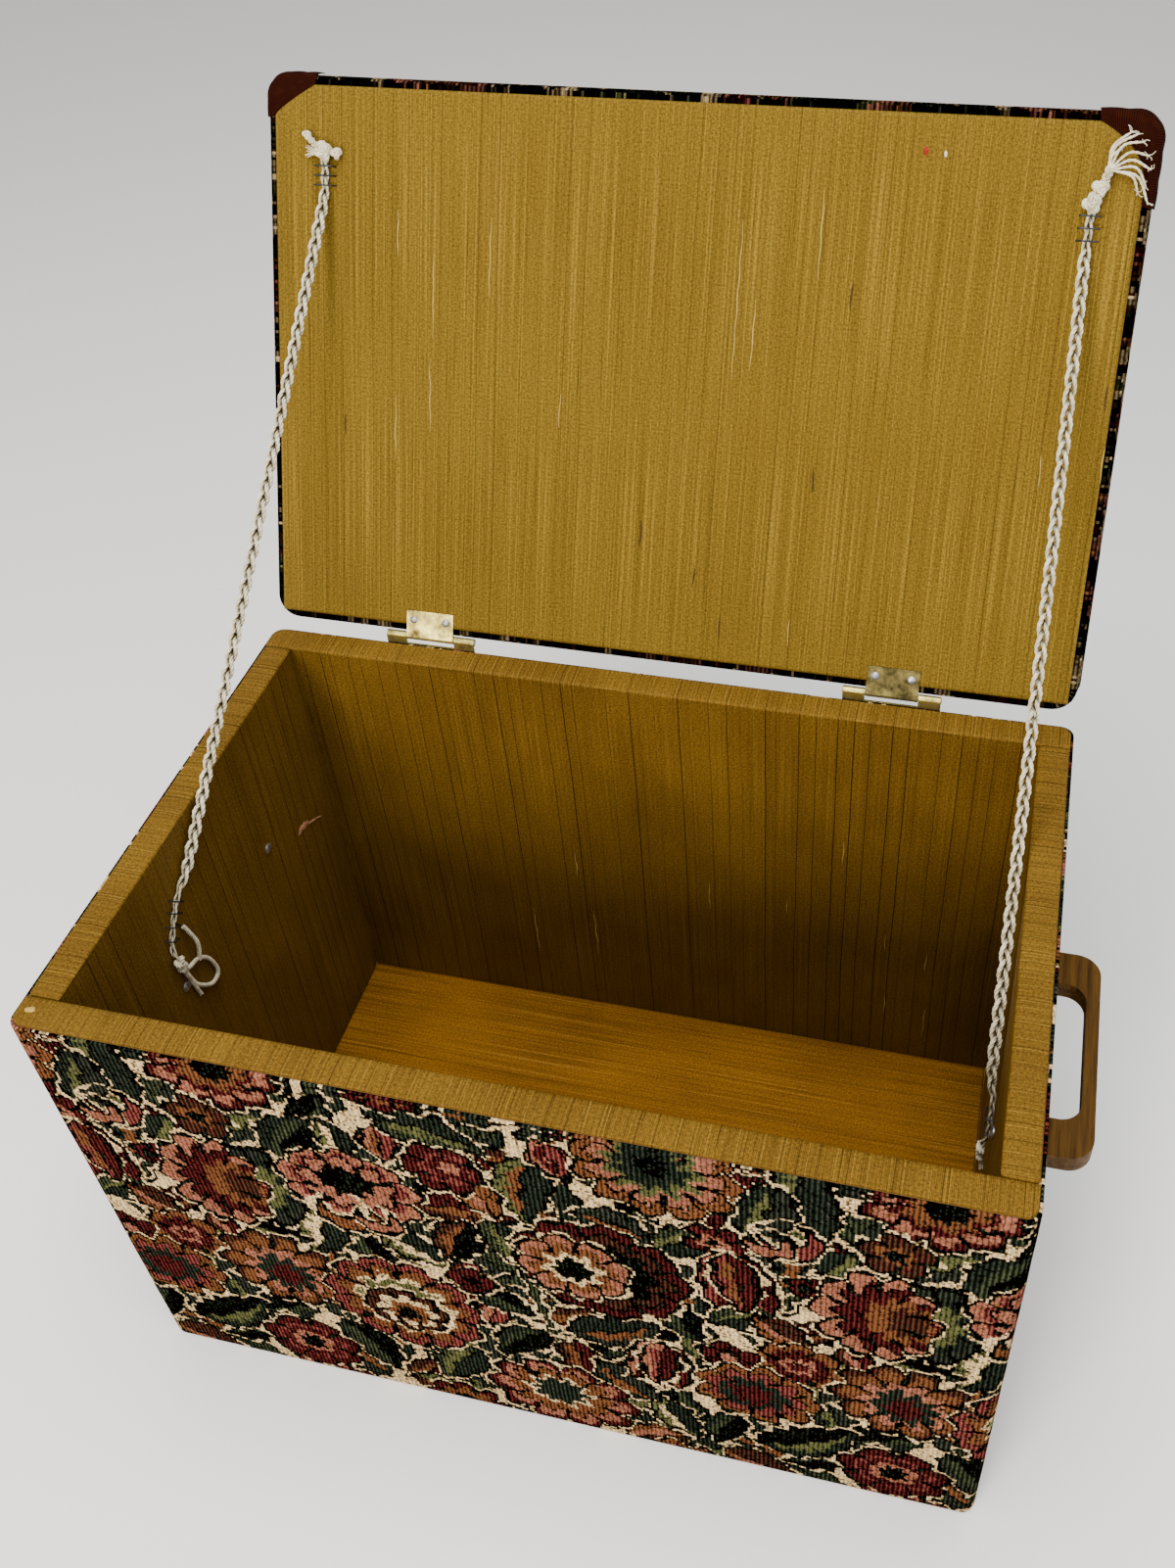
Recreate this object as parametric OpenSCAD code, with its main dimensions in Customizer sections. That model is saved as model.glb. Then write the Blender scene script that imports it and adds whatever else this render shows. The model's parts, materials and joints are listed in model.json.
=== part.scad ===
// Storage ottoman: a fabric covered box with a padded lid, millimetres.
// The origin is the centre of the underside. X runs to the right, Y to the back, Z up.
// The lid stands open, leaning back on its two stay cords.

/* [Box] */
// Width over the outside cover
body_w = 520; // [420:1:640]
// Depth over the outside cover
body_d = 330; // [260:1:420]
// Height from the underside to the top of the rim
body_h = 335; // [250:1:450]
// Thickness of the wall boards
board_t = 16; // [12:0.5:20]
// Thickness of the outside cloth with its wadding
cover_t = 2; // [1.5:0.1:3]
// Thickness of the lining cloth with its wadding
lining_t = 2; // [1.5:0.1:3]
// Radius of the upright corners
corner_r = 8; // [5:0.5:14]
// Thickness of the bottom board
bottom_t = 4; // [3:0.5:9]
// Thickness of the lined floor panel
floor_t = 2.5; // [2:0.5:5]

/* [Lid] */
// Angle between the closed lid and the open lid
open_angle = 115; // [100:1:120]
// How far the lid reaches past the front wall
lid_over = 3; // [0:0.5:8]
// Thickness of the lid board
lid_board_t = 12; // [10:0.5:16]
// Thickness of the padding at the edge of the lid
pad_t = 16; // [10:0.5:30]
// How far the middle of the padding stands above its edge
crown = 7; // [2:0.5:15]
// Width of the cloth turned under the lid
hem_w = 16; // [12:0.5:24]

/* [Hinges] */
// Distance of each hinge from the middle of the box
hinge_x = 150; // [90:1:200]
// Length of the hinge over its outer knuckles
hinge_len = 60; // [50:1:80]
// Length of the middle knuckle
mid_len = 32; // [24:1:40]
// Outside diameter of the knuckles
barrel_d = 5; // [4.5:0.1:7]
// Diameter of the hinge pin
pin_d = 2.8; // [2.4:0.1:3]
// Thickness of the hinge leaves
leaf_t = 1.1; // [0.9:0.05:1.4]
// Height of the pin above the rim
hinge_rise = 4; // [3.6:0.1:5]

/* [Handles] */
// Length of each handle
handle_len = 138; // [120:1:160]
// How far each handle stands out
handle_out = 32; // [28:0.5:40]
// Height of the wood
handle_t = 12; // [10:0.5:18]
// Width of the grip bar
grip_w = 7.5; // [7:0.5:12]
// Length of each foot
foot_len = 23; // [18:0.5:30]
// Height of the handles above the underside
handle_z = 235; // [120:1:260]

/* [Stay cords] */
// Diameter of the plaited cord
cord_d = 7.5; // [6:0.1:8]
// Diameter of its thin lower end
tail_d = 3.6; // [3:0.1:4]

/* [Part shown] */
// Sub-part drawn on its own, or all

/* [Hidden] */
half_w = body_w / 2;
half_d = body_d / 2;
// faces of the wall boards, counted from the middle
board_x = half_w - cover_t;
board_y = half_d - cover_t;
inner_x = board_x - board_t;
inner_y = board_y - board_t;
face_x = inner_x - lining_t;
face_y = inner_y - lining_t;
board_top = body_h - lining_t;
// layers of the underside
dust_t = 0.8;
hem_t = 1.2;
bottom_z = dust_t + hem_t;
wall_z = bottom_z + bottom_t;
// split between front, back and side covers
split_y = half_d - corner_r;
// hinge axis
barrel_r = barrel_d / 2;
bore_r = pin_d / 2 + 0.05;
axis_y = half_d + barrel_r;
axis_z = body_h + hinge_rise;
leaf_y = half_d + 0.05;
// lid face seen from below, counted from the axis while the lid is closed
face_z = leaf_t - barrel_r + 0.05;
lid_lining_t = 2;
lid_hem_t = 1.2;
lid_board_z = lid_lining_t + lid_hem_t;
lid_top_z = lid_board_z + lid_board_t;
lid_x = half_w - 2;
lid_s0 = 3.4;
lid_s1 = axis_y + half_d + lid_over;
lid_c = (lid_s0 + lid_s1) / 2;
lid_h = (lid_s1 - lid_s0) / 2;
lid_r = 12;
// fixings
screw_s = 11.5;
screw_dx = 11;
screw_r = 1.25;
hole_r = 1.3;
// how far the corner screws stand in from the middle of the side boards, clear of the rounded corners
corner_screw_in = 2;
box_screw_z = body_h - 11;
box_screw_dx = 20;
foot_y = (handle_len - foot_len) / 2;
// stay cords: how far in from the box ends and how far along the lid
left_x = half_w - 40;
right_x = half_w - 32;
left_s = 286 + (lid_s1 - 335.5);
right_s = 283 + (lid_s1 - 335.5);
cord_r = cord_d / 2;
tail_r = tail_d / 2;
pinch_r = 2.6;

// Shared shapes

// points of a rounded rectangle with n steps in each corner
function arc_pts(cx, cy, r, a0, n) =
  [for (i = [0:n]) [cx + r * cos(a0 + 90 * i / n), cy + r * sin(a0 + 90 * i / n)]];
function round_rect(hx, hy, r, n) =
  concat(arc_pts(hx - r, hy - r, r, 0, n), arc_pts(r - hx, hy - r, r, 90, n),
         arc_pts(r - hx, r - hy, r, 180, n), arc_pts(hx - r, r - hy, r, 270, n));

// plan of the wall boards and plan of the outside cover
module board_plan() {
  polygon(round_rect(board_x, board_y, corner_r - cover_t, 6));
}
module cover_plan() {
  polygon(round_rect(half_w, half_d, corner_r, 6));
}

// keeps the part of a plan in front of the line y = -edge
module front_of(edge) {
  intersection() {
    children();
    translate([-half_w - 5, -half_d - 5]) square([body_w + 10, half_d + 5 - edge]);
  }
}

// puts a shape drawn on the closed lid, seen from the hinge axis, where the open lid is
module on_lid() {
  translate([0, axis_y, axis_z]) rotate([-open_angle, 0, 0]) children();
}

// a point of the open lid: x, distance from the axis, height in front of the lining face
function lid_pt(x, s, h) = [
  x,
  axis_y - s * cos(open_angle) - (h - face_z) * sin(open_angle),
  axis_z + s * sin(open_angle) - (h - face_z) * cos(open_angle)
];

// one wood screw along +Z with its head below z = 0
module wood_screw(r, len, head_r, head_h) {
  difference() {
    union() {
      cylinder(h = len - 3, r = r, $fn = 24);
      translate([0, 0, len - 3]) cylinder(h = 3, r1 = r, r2 = 0.3, $fn = 24);
      translate([0, 0, -head_h * 0.4]) cylinder(h = head_h * 0.4, r = head_r, $fn = 24);
      translate([0, 0, -head_h]) cylinder(h = head_h * 0.6, r1 = head_r * 0.6, r2 = head_r, $fn = 24);
    }
    translate([-head_r - 1, -0.35, -head_h - 1]) cube([2 * head_r + 2, 0.7, 1 + head_h * 0.5]);
  }
}

// Boards

module corner_screw_at(sx, z) {
  translate([sx * (board_x - board_t / 2 - corner_screw_in), -board_y, z]) rotate([-90, 0, 0]) children();
}
module countersunk(r, len, head_r) {
  cylinder(h = len, r = r, $fn = 24);
  cylinder(h = head_r - r, r1 = head_r, r2 = r, $fn = 24);
}
module corner_screw_row(extra) {
  for (my = [0, 1]) mirror([0, my, 0])
    for (sx = [-1, 1])
      for (k = [0.14, 0.5, 0.86])
        corner_screw_at(sx, k * body_h) countersunk(1.75 + extra, 42 + extra, 3.5 + extra);
}
module pin_row(extra) {
  for (my = [-1, 1])
    for (k = [-0.8, -0.4, 0, 0.4, 0.8])
      translate([k * board_x, my * (board_y - board_t / 2), bottom_z]) bottom_pin(extra);
  for (mx = [-1, 1])
    for (k = [-0.55, 0, 0.55])
      translate([mx * (board_x - board_t / 2), k * board_y, bottom_z]) bottom_pin(extra);
}
module bottom_pin(extra) {
  cylinder(h = 24 + extra, r = 0.9 + extra, $fn = 16);
  cylinder(h = 0.8, r = 2 + extra, $fn = 16);
}
module box_leaf_holes(r) {
  for (hx = [-hinge_x, hinge_x])
    for (dx = [-box_screw_dx, box_screw_dx])
      translate([hx + dx, half_d + 5, box_screw_z]) rotate([90, 0, 0]) cylinder(h = 22, r = r, $fn = 24);
}
module handle_holes(r) {
  for (mx = [0, 1]) mirror([mx, 0, 0])
    for (fy = [-foot_y, foot_y])
      translate([face_x - 3, fy, handle_z]) rotate([0, 90, 0]) cylinder(h = 37.2, r = r, $fn = 24);
}

module front_board() {
  color("#C9A878")
  difference() {
    translate([0, 0, wall_z]) linear_extrude(board_top - wall_z) front_of(inner_y) board_plan();
    corner_screw_row(0.05);
    pin_row(0.05);
  }
}
module back_board() {
  color("#C9A878")
  difference() {
    translate([0, 0, wall_z]) linear_extrude(board_top - wall_z)
      mirror([0, 1]) front_of(inner_y) board_plan();
    corner_screw_row(0.05);
    pin_row(0.05);
    box_leaf_holes(hole_r);
  }
}
module side_board() {
  translate([inner_x, -inner_y, wall_z]) cube([board_t, 2 * inner_y, board_top - wall_z]);
}
module left_board() {
  color("#C4A070")
  difference() {
    mirror([1, 0, 0]) side_board();
    corner_screw_row(0.05);
    pin_row(0.05);
    handle_holes(2.05);
    wall_staple_set();
  }
}
module right_board() {
  color("#C4A070")
  difference() {
    side_board();
    corner_screw_row(0.05);
    pin_row(0.05);
    handle_holes(2.05);
    wall_staple_set();
  }
}
module bottom_board() {
  color("#B8925E")
  difference() {
    translate([0, 0, bottom_z]) linear_extrude(bottom_t) board_plan();
    pin_row(0.05);
  }
}
module corner_screws() {
  color("#8E8F92") corner_screw_row(0);
}
module bottom_pins() {
  color("#8E8F92") pin_row(0);
}

// Lining: a wall sheet that turns over the top of its board

// outline of the lining across the wall, from the board face inward
module lining_profile() {
  polygon([
    [0, board_top], [0, body_h - 0.8], [0.8, body_h],
    [board_t + lining_t - 1.2, body_h], [board_t + lining_t, body_h - 1.2],
    [board_t + lining_t, wall_z], [board_t, wall_z], [board_t, board_top]
  ]);
}
module front_lining_body() {
  difference() {
    intersection() {
      translate([-board_x, -board_y, 0]) rotate([90, 0, 90]) linear_extrude(2 * board_x) lining_profile();
      translate([0, 0, wall_z - 1]) linear_extrude(body_h) board_plan();
    }
    for (mx = [0, 1]) mirror([mx, 0, 0])
      translate([inner_x, -half_d, 0]) cube([board_t + 5, 40, board_top]);
  }
}
module side_lining_body() {
  translate([board_x, face_y - 0.3, 0]) rotate([90, 0, 0])
    linear_extrude(2 * face_y - 0.6) mirror([1, 0]) lining_profile();
}
module front_lining() {
  color("#A07D38") front_lining_body();
}
module back_lining() {
  color("#A07D38") mirror([0, 1, 0]) front_lining_body();
}
module left_lining() {
  color("#A07D38")
  difference() {
    mirror([1, 0, 0]) side_lining_body();
    handle_holes(2.05);
    wall_staple_set();
  }
}
module right_lining() {
  color("#A07D38")
  difference() {
    side_lining_body();
    handle_holes(2.05);
    wall_staple_set();
  }
}
module floor_panel() {
  color("#8A5E14")
  translate([-face_x, -face_y, wall_z]) cube([2 * face_x, 2 * face_y, floor_t]);
}

// Outside cover

module front_cover_body() {
  translate([0, 0, dust_t]) linear_extrude(body_h - 1.5 - dust_t) front_of(split_y)
    difference() {
      cover_plan();
      board_plan();
    }
  translate([0, 0, dust_t]) linear_extrude(hem_t) front_of(inner_y) board_plan();
}
module front_cover() {
  color("#5A3A2C") front_cover_body();
}
module back_cover() {
  color("#5A3A2C")
  difference() {
    mirror([0, 1, 0]) front_cover_body();
    box_leaf_holes(hole_r);
  }
}
module side_cover_body() {
  difference() {
    union() {
      translate([board_x, -split_y, dust_t]) cube([cover_t, 2 * split_y, body_h - 1.5 - dust_t]);
      translate([inner_x, -inner_y, dust_t]) cube([board_t, 2 * inner_y, hem_t]);
    }
    handle_holes(2.05);
  }
}
module left_cover() {
  color("#5A3A2C") mirror([1, 0, 0]) side_cover_body();
}
module right_cover() {
  color("#5A3A2C") side_cover_body();
}
module dust_cover() {
  color("#26221F")
  linear_extrude(dust_t) polygon([
    [10 - half_w, 22 - half_d], [22 - half_w, 10 - half_d],
    [half_w - 22, 10 - half_d], [half_w - 10, 22 - half_d],
    [half_w - 10, half_d - 22], [half_w - 22, half_d - 10],
    [22 - half_w, half_d - 10], [10 - half_w, half_d - 22]
  ]);
}

// Handles: a flat wooden bow on two feet

module handle_plan() {
  out_r = 14;
  in_r = 12;
  slot_x = handle_out - grip_w;
  slot_y = handle_len / 2 - foot_len;
  difference() {
    union() {
      translate([0, -handle_len / 2]) square([handle_out - out_r, handle_len]);
      translate([0, out_r - handle_len / 2]) square([handle_out, handle_len - 2 * out_r]);
      for (k = [-1, 1])
        translate([handle_out - out_r, k * (handle_len / 2 - out_r)]) circle(r = out_r - 0.02, $fn = 64);
    }
    translate([-1, -slot_y]) square([1 + slot_x - in_r, 2 * slot_y]);
    translate([-1, in_r - slot_y]) square([1 + slot_x, 2 * (slot_y - in_r)]);
    for (k = [-1, 1])
      translate([slot_x - in_r, k * (slot_y - in_r)]) circle(r = in_r - 0.02, $fn = 64);
  }
}
module handle_body() {
  difference() {
    translate([half_w, 0, handle_z - handle_t / 2]) linear_extrude(handle_t) handle_plan();
    handle_holes(2.05);
  }
}
module left_handle() {
  color("#7E5427") mirror([1, 0, 0]) handle_body();
}
module right_handle() {
  color("#7E5427") handle_body();
}
module handle_screws() {
  color("#B9B7AE")
  for (mx = [0, 1]) mirror([mx, 0, 0])
    for (fy = [-foot_y, foot_y])
      translate([face_x, fy, handle_z]) rotate([0, 90, 0]) wood_screw(2, 34, 3.6, 1.6);
}

// Hinges: two leaves whose knuckles take turns on one pin

module knuckle(x0, x1) {
  translate([x0, 0, 0]) rotate([0, 90, 0]) cylinder(h = x1 - x0, r = barrel_r, $fn = 32);
}
module pin_bore() {
  translate([-hinge_len / 2 - 1, 0, 0]) rotate([0, 90, 0]) cylinder(h = hinge_len + 2, r = bore_r, $fn = 32);
}
module box_leaf_body() {
  gap = mid_len / 2 + 0.3;
  side = hinge_len / 2 - gap;
  difference() {
    union() {
      translate([0, axis_y, axis_z]) knuckle(-hinge_len / 2, -gap);
      translate([0, axis_y, axis_z]) knuckle(gap, hinge_len / 2);
      translate([-hinge_len / 2, leaf_y, body_h - 19]) cube([hinge_len, leaf_t, 18]);
      translate([-hinge_len / 2, leaf_y, body_h - 2]) cube([side, leaf_t, hinge_rise + 2]);
      translate([gap, leaf_y, body_h - 2]) cube([side, leaf_t, hinge_rise + 2]);
    }
    translate([0, axis_y, axis_z]) pin_bore();
    for (dx = [-box_screw_dx, box_screw_dx])
      translate([dx, half_d + 5, box_screw_z]) rotate([90, 0, 0]) cylinder(h = 6, r = hole_r, $fn = 24);
  }
}
module lid_leaf_body() {
  difference() {
    union() {
      knuckle(-mid_len / 2, mid_len / 2);
      translate([-mid_len / 2, -17.5, 0.05 - barrel_r]) cube([mid_len, 17.5, leaf_t]);
    }
    pin_bore();
    for (dx = [-screw_dx, screw_dx])
      translate([dx, -screw_s, -4]) cylinder(h = 4, r = hole_r, $fn = 24);
  }
}
module pin_body() {
  translate([-hinge_len / 2 - 0.1, 0, 0]) rotate([0, 90, 0])
    cylinder(h = hinge_len + 0.2, r = pin_d / 2, $fn = 32);
  for (k = [0, 1]) mirror([k, 0, 0])
    translate([hinge_len / 2, 0, 0]) rotate([0, 90, 0])
      cylinder(h = 0.5, r1 = pin_d / 2 + 0.5, r2 = pin_d / 2, $fn = 32);
}
module left_hinge_box_leaf() {
  color("#8A8050") translate([-hinge_x, 0, 0]) box_leaf_body();
}
module right_hinge_box_leaf() {
  color("#8A8050") translate([hinge_x, 0, 0]) box_leaf_body();
}
module left_hinge_pin() {
  color("#A49A68") translate([-hinge_x, axis_y, axis_z]) pin_body();
}
module right_hinge_pin() {
  color("#A49A68") translate([hinge_x, axis_y, axis_z]) pin_body();
}
module left_hinge_lid_leaf() {
  color("#8A8050") on_lid() translate([-hinge_x, 0, 0]) lid_leaf_body();
}
module right_hinge_lid_leaf() {
  color("#8A8050") on_lid() translate([hinge_x, 0, 0]) lid_leaf_body();
}
module box_leaf_screws() {
  color("#B9B7AE")
  for (hx = [-hinge_x, hinge_x])
    for (dx = [-box_screw_dx, box_screw_dx])
      translate([hx + dx, leaf_y + leaf_t, box_screw_z]) rotate([90, 0, 0]) wood_screw(screw_r, 15, 2.5, 1);
}
module lid_screw_holes() {
  for (hx = [-hinge_x, hinge_x])
    for (dx = [-screw_dx, screw_dx])
      translate([hx + dx, -screw_s, face_z - 1]) cylinder(h = 13, r = hole_r, $fn = 24);
}
module lid_leaf_screws() {
  color("#B9B7AE") on_lid()
  for (hx = [-hinge_x, hinge_x])
    for (dx = [-screw_dx, screw_dx])
      translate([hx + dx, -screw_s, 0.05 - barrel_r]) rotate([0, 0, 35 + dx * 2])
        wood_screw(screw_r, 12.5, 2.5, 1);
}

// Lid

// outline of the lid grown by o, around the middle of the lid
function lid_ring(o) = round_rect(lid_x + o, lid_h + o, max(lid_r + o, 4), 6);
// the same outline lifted h above the lining face
function lid_ring3(o, h) = [for (p = lid_ring(o)) [p[0], p[1] - lid_c, h + face_z]];
ring_n = 28;
// growth and height of the rings of the outer skin, from the hem over the edge to the crown
skin_rings = [
  [-hem_w, lid_lining_t], [-1, lid_lining_t], [0.2, lid_lining_t + 0.8],
  [1.3, 0.25 * lid_top_z + 3], [2.4, lid_top_z], [2.6, lid_top_z + 0.3 * pad_t],
  [2, lid_top_z + 0.55 * pad_t], [0, lid_top_z + 0.82 * pad_t], [-4, lid_top_z + pad_t],
  [-10, lid_top_z + pad_t + 0.22 * crown], [-26, lid_top_z + pad_t + 0.5 * crown],
  [-60, lid_top_z + pad_t + 0.8 * crown], [-110, lid_top_z + pad_t + crown]
];
// rings of the padding, from the board up to the crown
pad_rings = [
  [-2, lid_top_z], [0.8, lid_top_z + 1.2], [1, lid_top_z + 0.3 * pad_t],
  [0.4, lid_top_z + 0.52 * pad_t], [-1.4, lid_top_z + 0.75 * pad_t], [-5, lid_top_z + pad_t - 1.9],
  [-10.6, lid_top_z + pad_t - 1.7 + 0.22 * crown], [-26, lid_top_z + pad_t - 1.6 + 0.5 * crown],
  [-60, lid_top_z + pad_t - 1.6 + 0.8 * crown], [-110, lid_top_z + pad_t - 1.6 + crown]
];
// side faces between ring a and ring b of a stack of rings
function band(a, b) = [for (i = [0:ring_n - 1])
  [a * ring_n + i, a * ring_n + (i + 1) % ring_n, b * ring_n + (i + 1) % ring_n, b * ring_n + i]];
function cap_up(a) = [[for (i = [0:ring_n - 1]) a * ring_n + i]];
function cap_down(a) = [[for (i = [0:ring_n - 1]) a * ring_n + ring_n - 1 - i]];
// OpenSCAD wants the faces clockwise seen from outside
function turned(faces) = [for (f = faces) [for (i = [0:len(f) - 1]) f[len(f) - 1 - i]]];

module ring_stack(rings) {
  m = len(rings);
  pts = [for (r = rings) each lid_ring3(r[0], r[1])];
  faces = concat([for (k = [0:m - 2]) each band(k, k + 1)], cap_up(m - 1), cap_down(0));
  polyhedron(points = pts, faces = turned(faces), convexity = 6);
}
module skin_stack() {
  inner = concat([[-hem_w, lid_board_z], [-2, lid_board_z]], pad_rings);
  rings = concat(skin_rings, [for (k = [0:len(inner) - 1]) inner[len(inner) - 1 - k]]);
  m = len(rings);
  t = len(skin_rings);
  pts = [for (r = rings) each lid_ring3(r[0], r[1])];
  faces = concat(
    [for (k = [0:t - 2]) each band(k, k + 1)], cap_up(t - 1),
    cap_down(t), [for (k = [t:m - 2]) each band(k, k + 1)], band(m - 1, 0));
  polyhedron(points = pts, faces = turned(faces), convexity = 10);
}

module lid_board() {
  color("#C9A878") on_lid()
  difference() {
    translate([0, -lid_c, face_z + lid_board_z]) linear_extrude(lid_board_t) polygon(lid_ring(-2));
    lid_screw_holes();
    lid_staple_set();
  }
}
module lid_padding() {
  color("#E6E0D0") on_lid() ring_stack(pad_rings);
}
module lid_cover() {
  color("#5A3A2C") on_lid()
  difference() {
    skin_stack();
    lid_screw_holes();
  }
}
// how far the lining is cut back at its free corners, across and along the lid
left_cut = [26, 18];
right_cut = [29, 44];
edge_x = lid_x - 4;
edge_s0 = lid_s0 + 4;
edge_s1 = lid_s1 - 4;
// outline of the lid lining
module lid_lining_plan() {
  polygon([
    [6 - edge_x, -edge_s0], [edge_x - 6, -edge_s0], [edge_x, -edge_s0 - 6],
    [edge_x, right_cut[1] - edge_s1], [edge_x - right_cut[0], -edge_s1],
    [left_cut[0] - edge_x, -edge_s1], [-edge_x, left_cut[1] - edge_s1], [-edge_x, -edge_s0 - 6]
  ]);
}
module lid_lining() {
  color("#A07D38") on_lid()
  difference() {
    union() {
      translate([0, 0, face_z]) linear_extrude(lid_lining_t) lid_lining_plan();
      translate([0, -lid_c, face_z + lid_lining_t]) linear_extrude(lid_hem_t) polygon(lid_ring(-hem_w));
    }
    lid_screw_holes();
    lid_staple_set();
  }
}
// cloth folded over the corner of the lid beside the cut corner of the lining
module corner_fold_body(cut) {
  translate([edge_x, -edge_s1, face_z + 0.6]) linear_extrude(lid_lining_t - 0.6) polygon([
    [0, cut[1]], [2, cut[1] - 3], [2, 7], [-0.5, 1.5], [-5, -2], [3 - cut[0], -2], [-cut[0], 0]
  ]);
}
module left_corner_fold() {
  color("#5A1E10") on_lid() mirror([1, 0, 0]) corner_fold_body(left_cut);
}
module right_corner_fold() {
  color("#5A1E10") on_lid() corner_fold_body(right_cut);
}

// Stay cords, their staples and knots

// route of each cord from the wall end to the lid end, with its radius at each point
wall_end_z = body_h - 68;
left_route = [
  [[4.8 - face_x, -60, wall_end_z - 1], tail_r], [[3 - face_x, -60, wall_end_z + 3], tail_r],
  [[2.1 - face_x, -57, wall_end_z + 9], tail_r], [[2.1 - face_x, -48, wall_end_z + 21], tail_r],
  [[2.4 - face_x, -38, wall_end_z + 31], tail_r + 0.1],
  [[4.5 - face_x, -30, wall_end_z + 38], cord_r - 0.8], [[5.5 - face_x, -20, wall_end_z + 47], cord_r]
];
left_lid_route = [
  [lid_pt(-left_x, left_s - 26, 8), cord_r], [lid_pt(-left_x, left_s - 18, 4.6), cord_r - 0.5],
  [lid_pt(-left_x, left_s - 12, 3), pinch_r], [lid_pt(-left_x, left_s + 1, 3), pinch_r],
  [lid_pt(-left_x, left_s + 4.6, 3.4), pinch_r]
];
right_end_z = body_h - 130;
right_route = [
  [[face_x - 4.8, -46, right_end_z - 1], tail_r], [[face_x - 3, -46, right_end_z + 4], tail_r],
  [[face_x - 2.1, -46, right_end_z + 10], tail_r], [[face_x - 2.1, -44, right_end_z + 24], tail_r],
  [[face_x - 2.4, -41, right_end_z + 36], tail_r + 0.1],
  [[face_x - 4.5, -36, right_end_z + 46], cord_r - 0.8], [[face_x - 5.2, -27, right_end_z + 57], cord_r]
];
right_lid_route = [
  [lid_pt(right_x, right_s - 28, 8), cord_r], [lid_pt(right_x, right_s - 20, 4.6), cord_r - 0.5],
  [lid_pt(right_x, right_s - 14, 3), pinch_r], [lid_pt(right_x, right_s + 1, 3), pinch_r],
  [lid_pt(right_x, right_s + 4.6, 3.4), pinch_r]
];
// straight rings between the last wall point and the first lid point
function mix(a, b, t) = [for (i = [0:2]) a[i] * (1 - t) + b[i] * t];
function run(a, b, n) = [for (k = [1:n]) [mix(a[0], b[0], k / (n + 1)), cord_r]];
function whole(a, b) = concat(a, run(a[len(a) - 1], b[0], 20), b);

// tube of ten sides along a route of points and radii; the route stays near the YZ plane
function unit(v) = v / norm(v);
function heading(p, k) = unit(p[min(k + 1, len(p) - 1)][0] - p[max(k - 1, 0)][0]);
function tube_ring(p, k) =
  let (t = heading(p, k), u = unit(cross([1, 0, 0], t)), v = cross(t, u))
  [for (i = [0:9]) p[k][0] + p[k][1] * (cos(36 * i) * u + sin(36 * i) * v)];
module tube(p) {
  n = 10;
  m = len(p);
  pts = [for (k = [0:m - 1]) each tube_ring(p, k)];
  faces = concat(
    [[for (i = [0:n - 1]) n - 1 - i]],
    [for (k = [0:m - 2]) each [for (i = [0:n - 1])
      [k * n + i, k * n + (i + 1) % n, (k + 1) * n + (i + 1) % n, (k + 1) * n + i]]],
    [[for (i = [0:n - 1]) (m - 1) * n + i]]);
  polyhedron(points = pts, faces = turned(faces), convexity = 4);
}
module left_stay_cord() {
  color("#CFC6A8") tube(whole(left_route, left_lid_route));
}
module right_stay_cord() {
  color("#CFC6A8") tube(whole(right_route, right_lid_route));
}

// wire staple across the Y axis, crown h above z = 0, legs going down to z = -leg
module staple(w, h, leg) {
  translate([-w / 2, -0.5, h]) cube([w, 1, 0.9]);
  for (k = [-w / 2, w / 2 - 0.9])
    translate([k, -0.5, -leg]) cube([0.9, 1, h + leg + 0.5]);
}
// staples that hold the thin cord ends on the side walls
module wall_staple_set() {
  for (p = [[-56, 10.3, 37], [-51, 17, 37], [-46, 23, 45], [-41, 28, 45]])
    translate([-face_x, p[0], wall_end_z + p[1]])
      rotate([-p[2], 0, 0]) rotate([0, 90, 0]) rotate([0, 0, 90]) staple(6.4, 4.3, 8);
  for (p = [[-45.4, 14, 8], [-43.6, 26, 12]])
    translate([face_x, p[0], right_end_z + p[1]])
      rotate([-p[2], 0, 0]) rotate([0, -90, 0]) rotate([0, 0, 90]) staple(6.4, 4.3, 8);
}
module wall_staples() {
  color("#6C6E72") wall_staple_set();
}
// staples that hold the cords on the lid
module lid_staple_set() {
  for (s = [left_s - 11, left_s - 5.5, left_s])
    translate([-left_x, -s, face_z]) rotate([180, 0, 0]) staple(12, 5.9, 9);
  for (s = [right_s - 13, right_s - 6.5, right_s])
    translate([right_x, -s, face_z]) rotate([180, 0, 0]) staple(12, 5.9, 9);
}
module lid_staples() {
  color("#6C6E72") on_lid() lid_staple_set();
}
// knot as a lumpy turned form along +Z
module knot(r) {
  rotate_extrude($fn = 24) polygon([
    [0, 0], [0.55 * r, 0], [0.85 * r, 0.3 * r], [r, 0.85 * r], [0.9 * r, 1.3 * r],
    [0.7 * r, 1.5 * r], [0.86 * r, 1.8 * r], [0.9 * r, 2.2 * r], [0.62 * r, 2.7 * r], [0, 2.85 * r]
  ]);
}
module left_wall_knot() {
  color("#CFC6A8") translate([5 - face_x, -60, wall_end_z - 1.8]) rotate([180, 0, 0]) knot(4.6);
}
module right_wall_knot() {
  color("#CFC6A8") translate([face_x - 5, -46, right_end_z - 1.8]) rotate([180, 0, 0]) knot(4.6);
}
module left_lid_knot() {
  color("#CFC6A8") on_lid() translate([-left_x, -left_s - 5.3, face_z - 5.8]) rotate([90, 0, 0]) knot(5.75);
}
module right_lid_knot() {
  color("#CFC6A8") on_lid() translate([right_x, -right_s - 5.3, face_z - 5.8]) rotate([90, 0, 0]) knot(5.75);
}

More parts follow.
